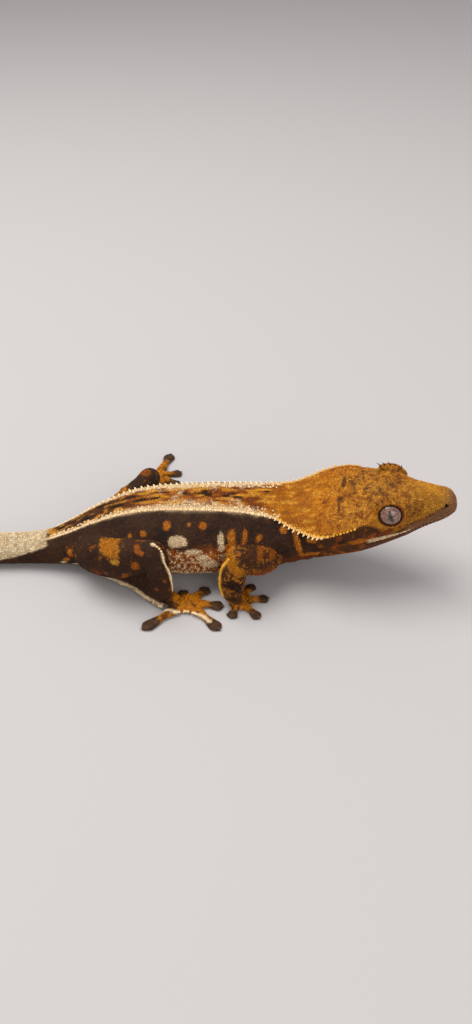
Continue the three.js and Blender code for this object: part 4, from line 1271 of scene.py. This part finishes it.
# %% [markdown]
# Larger scales stand along some edges: a pale fringe behind the thigh and before the shin,
# and two rows of plates along the lips. The plates are found by looking outwards from the
# middle of the head to the skin.
# %% Fringes and lip plates
FRINGE_STEP, FRINGE_LENGTH, FRINGE_RADIUS = 0.62, 0.5, 0.34
HANGING = np.array([-0.6, 0, -0.8])
fringe = []
skin_tree = BVHTree.FromObject(skin, bpy.context.evaluated_depsgraph_get())
for line, tint, _ in PALE_EDGES:
    lengths = np.concatenate([[0], np.cumsum(np.linalg.norm(np.diff(line, axis=0), axis=1))])
    for at in np.arange(0, lengths[-1], FRINGE_STEP):
        spot = np.array([np.interp(at, lengths, line[:, k]) for k in range(3)])
        found, normal, _, _ = skin_tree.find_nearest(Vector(world(spot)))
        root, away = np.array(found) / MM - SHIFT, np.array(normal)
        if root[2] > 0.4:
            length = FRINGE_LENGTH * rng.uniform(0.7, 1.2)
            fringe.append((root, away, HANGING, length, FRINGE_RADIUS, tint * rng.uniform(0.8, 1.0), tint))
fringe_piece = joined_spines("fringe_scales", fringe, scale_material)
print("fringe scales", len(fringe))

PLATE_RADIUS = 0.40
plates = []
for side in (1, -1):
    for behind in np.arange(1.6, 21.5, 0.95):
        for above in (0.62, -0.55):
            start = head_place(behind, 0, mouth_line(behind) + above)
            found, normal, _, _ = skin_tree.ray_cast(Vector(world(start)), Vector(HEAD_LEFT * side))
            if found is not None:
                plates.append((np.array(found) / MM - SHIFT, np.array(normal)))
plate_points, plate_facing = (np.array(column) for column in zip(*plates))
plate_colours, plate_place = colours_at(plate_points)
plate_size = np.full(len(plates), PLATE_RADIUS)
plate_lie = np.tile(-HEAD_FORWARD, (len(plates), 1))
plate_piece = copy_scales("lip_plates", plate_points, plate_facing, plate_lie, plate_size, plate_size * 1.3,
                          np.full(len(plates), COAT), plate_colours * 0.95, unwrap_place(plate_place))
print("lip plates", len(plates))

# %% [markdown]
# A gecko has no eyelids. A ring of small dark scales frames the eye, and the clear scale
# over it gives the gloss. The iris is mauve-grey with dark veins and a wavy upright slit.
# %% Eyes
# The two rings of scales: out from the eye's middle, radius, size of a scale, colour
RINGS = ((1.85, 2.78, 0.2, SOOT * 0.6), (1.98, 3.02, 0.22, RUST))
RING_COUNT = 44
ring = []
for side, centre in EYES.items():
    ahead, upward, axis = eye_directions(side)
    for out, radius, wide, tint in RINGS:
        for angle in np.linspace(0, 2 * math.pi, RING_COUNT, endpoint=False):
            away = upward * math.cos(angle) + ahead * math.sin(angle)
            spot = centre + axis * out + away * radius
            ring.append((spot, unit(axis * 0.8 + away * 0.2), np.cross(axis, away), wide, tint))
ring_points, ring_facing, ring_lie, ring_size, ring_tints = (np.array(column) for column in zip(*ring))
ring_piece = copy_scales("eye_ring_scales", ring_points, ring_facing, ring_lie, ring_size, ring_size * 0.9,
                         ring_size * 0.9, ring_tints, unwrap_place(Places(ring_points)))


def set_ramp(ramp, stops):
    """Gives a ramp its colours; stops are (position, sRGB hex) pairs in order."""
    for element, (position, code) in zip((ramp.elements[0], ramp.elements[1]), (stops[0], stops[-1])):
        element.position, element.color = position, (*linear(code), 1)
    for position, code in stops[1:-1]:
        ramp.elements.new(position).color = (*linear(code), 1)


def eye_ball(name, side, radius, material, segments=64):
    select_only()
    bpy.ops.mesh.primitive_uv_sphere_add(segments=segments, ring_count=segments // 2, radius=1)
    ball = bpy.context.object
    ball.name = name
    local = coordinates(ball.data)
    ahead, upward, axis = eye_directions(side)
    # The front bulges a little where the clear scale lies over the pupil
    bulge = 1 + 0.03 * np.clip(local[:, 2], 0, 1) ** 4
    shape = (local[:, 0:1] * ahead + local[:, 1:2] * upward + local[:, 2:3] * axis) * bulge[:, None]
    set_coordinates(ball.data, world(EYES[side] + shape * radius))
    for key, values in zip(("eye_across", "eye_height", "eye_front"), local.T):
        layer = ball.data.attributes.new(key, "FLOAT", "POINT")
        layer.data.foreach_set("value", np.ascontiguousarray(values))
    ball.data.materials.append(material)
    mend()
    bpy.ops.object.shade_smooth()
    return ball


# Positions and colours of the iris's veins
VEINS = ((0.36, "#3C241D"), (0.48, "#6B493E"), (0.62, "#9A7566"))
PUPIL, EYE_EDGE = "#1A1214", "#120D0C"


def colour_over(material, share, below, code):
    """Lays one colour over the colours below it, as much as the share says."""
    values = {7: (*linear(code), 1)}
    return add_node(material, "ShaderNodeMix", {0: share, 6: below}, values, data_type="RGBA").outputs[2]


def iris_material():
    """Wet iris under a clear scale: IOR 1.38, a thin glossy coat over a matte pattern."""
    material, shader = new_material("iris_under_clear_scale", IOR=1.38, Roughness=0.35)
    shader.inputs["Coat Weight"].default_value = 1.0
    shader.inputs["Coat Roughness"].default_value = 0.03
    shader.inputs["Coat IOR"].default_value = 1.4
    across = add_attribute(material, "eye_across")["Fac"]
    height = add_attribute(material, "eye_height")["Fac"]
    front = add_attribute(material, "eye_front")["Fac"]
    flat = add_node(material, "ShaderNodeCombineXYZ", {"X": across, "Y": height}).outputs["Vector"]
    warp = add_node(material, "ShaderNodeTexNoise", {"Vector": flat}, {"Scale": 5.0, "Detail": 3.0})
    veins = add_node(material, "ShaderNodeTexNoise", {"Vector": flat},
                     {"Scale": 7.5, "Detail": 4.0, "Distortion": 1.2})
    web = add_node(material, "ShaderNodeValToRGB", {"Fac": veins.outputs["Fac"]})
    set_ramp(web.color_ramp, VEINS)
    # Slit pupil: dark where the warped distance across is less than a width that tapers
    shift = add_maths(material, "MULTIPLY_ADD", warp.outputs["Fac"], 0.55, -0.275)
    size = add_maths(material, "ABSOLUTE", add_maths(material, "ADD", across, shift))
    taper = add_maths(material, "MULTIPLY", add_maths(material, "MULTIPLY", height, height), 0.32)
    slit = rescale(material, add_maths(material, "ADD", size, taper), 0.09, 0.17, 1.0, 0.0)
    colour = colour_over(material, slit, web.outputs["Color"], PUPIL)
    colour = colour_over(material, rescale(material, front, 0.60, 0.68, 1.0, 0.0), colour, EYE_EDGE)
    connect(material, colour, shader.inputs["Base Color"])
    return material


iris = iris_material()
eyes = {"eyeball_left": eye_ball("eyeball_left", 1, EYE_RADIUS, iris),
        "eyeball_right": eye_ball("eyeball_right", -1, EYE_RADIUS, iris)}

# %% [markdown]
# Each toe ends in a small dark claw over its pad. It is a curved cone like the spines, but
# smoother and glossier, so it has its own horn material.
# %% Claws
horn, horn_shader = new_material("dark_horn", IOR=1.55, Roughness=0.3)
horn_place = add_node(horn, "ShaderNodeTexCoord").outputs["Object"]
streak = add_node(horn, "ShaderNodeTexNoise", {"Vector": horn_place},
                  {"Scale": 1 / (0.3 * MM), "Detail": 2.0})
horn_ramp = add_node(horn, "ShaderNodeValToRGB", {"Fac": streak.outputs["Fac"]})
set_ramp(horn_ramp.color_ramp, ((0.0, "#17110D"), (1.0, "#54422F")))
connect(horn, horn_ramp.outputs["Color"], horn_shader.inputs["Base Color"])
CLAW_LENGTH, CLAW_RADIUS, CLAW_HEIGHT = 0.85, 0.2, 0.72
claws = []
for limb in LIMBS.values():
    palm = np.array(limb["palm"])
    for tip in limb["toes"]:
        ahead = unit(np.array([tip[0] - palm[0], tip[1] - palm[1], 0.0]))
        root = np.array([tip[0], tip[1], CLAW_HEIGHT]) - ahead * 0.35
        lean = unit(ahead + np.array([0, 0, 0.1]))
        claws.append((root, lean, np.array([0, 0, -1.0]), CLAW_LENGTH, CLAW_RADIUS, np.ones(3), np.ones(3)))
claw_piece = joined_spines("claws", claws, horn)
print("claws", len(claws))

# %% [markdown]
# Everything now rides on the one body. The skin stands for all the nodes of flesh and each
# eyeball for its own node.
# %% Hide the solids that these pieces replace, and attach every piece to the root
flesh = ["head", "neck", "torso", "tail_base", "tail_middle", "tail_tip"]
for limb in LIMBS.values():
    flesh += limb["nodes"]
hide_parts(*flesh)
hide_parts("eye_left")
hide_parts("eye_right")
for piece in [skin, crest_piece, lash_piece, ring_piece, fringe_piece, plate_piece, *scales]:
    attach(piece, "root")
for piece in eyes.values():
    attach(piece, "root")
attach(claw_piece, "root")

# %% [markdown]
# The floor is a pale sheet with soft light from a large lamp above and in front, as by a
# window. The camera looks down at the photograph's angle, from the animal's right side.
# %% Floor, light and camera
select_only()
bpy.ops.mesh.primitive_plane_add(size=6, location=(0, 0, 0))
floor = bpy.context.object
floor.name = "floor"
paper, paper_shader = new_material("matt_paper", Roughness=0.85)
paper_shader.inputs["Base Color"].default_value = (*linear("#B2AFAF"), 1)
floor.data.materials.append(paper)


def soft_lamp(name, spot, size, power, colour):
    """A round lamp that shines at the animal's head."""
    lamp = bpy.data.lights.new(name, "AREA")
    lamp.shape, lamp.size, lamp.energy, lamp.color = "DISK", size, power, colour
    holder = bpy.data.objects.new(name, lamp)
    bpy.context.scene.collection.objects.link(holder)
    holder.location = spot
    holder.rotation_euler = (Vector(LIT_SPOT) - Vector(spot)).to_track_quat("-Z", "Y").to_euler()


LIT_SPOT = (0.03, 0, 0.01)
soft_lamp("key_lamp", (-0.2, 0.1, 0.75), 0.7, 6.6, (1.0, 0.97, 0.93))
soft_lamp("fill_lamp", (0.35, -0.75, 0.45), 0.7, 2.8, (1.0, 0.98, 0.96))
sky = bpy.data.worlds.new("soft_sky")
bpy.context.scene.world = sky
sky.use_nodes = True
sky.node_tree.nodes["Background"].inputs["Color"].default_value = (0.93, 0.92, 0.92, 1)
sky.node_tree.nodes["Background"].inputs["Strength"].default_value = 0.62

CAMERA_DISTANCE, CAMERA_TILT, LOOK_HEIGHT = 230.0, math.radians(38), 17.0
# Focal length and picture height in pixels, as the photograph's perspective gives them
FOCAL_PIXELS, PICTURE_HEIGHT = 874, 1024
camera_data = bpy.data.cameras.new("photo_camera")
camera_data.sensor_width = 36
camera_data.lens = FOCAL_PIXELS / PICTURE_HEIGHT * camera_data.sensor_width
camera_data.clip_start = 0.01
camera = bpy.data.objects.new("photo_camera", camera_data)
bpy.context.scene.collection.objects.link(camera)
towards_camera = np.array([0, -math.cos(CAMERA_TILT), math.sin(CAMERA_TILT)])
camera.location = world((0, 0, LOOK_HEIGHT)) + CAMERA_DISTANCE * MM * towards_camera
camera.rotation_euler = (math.pi / 2 - CAMERA_TILT, 0, 0)
bpy.context.scene.camera = camera
bpy.context.scene.view_settings.view_transform = "Standard"
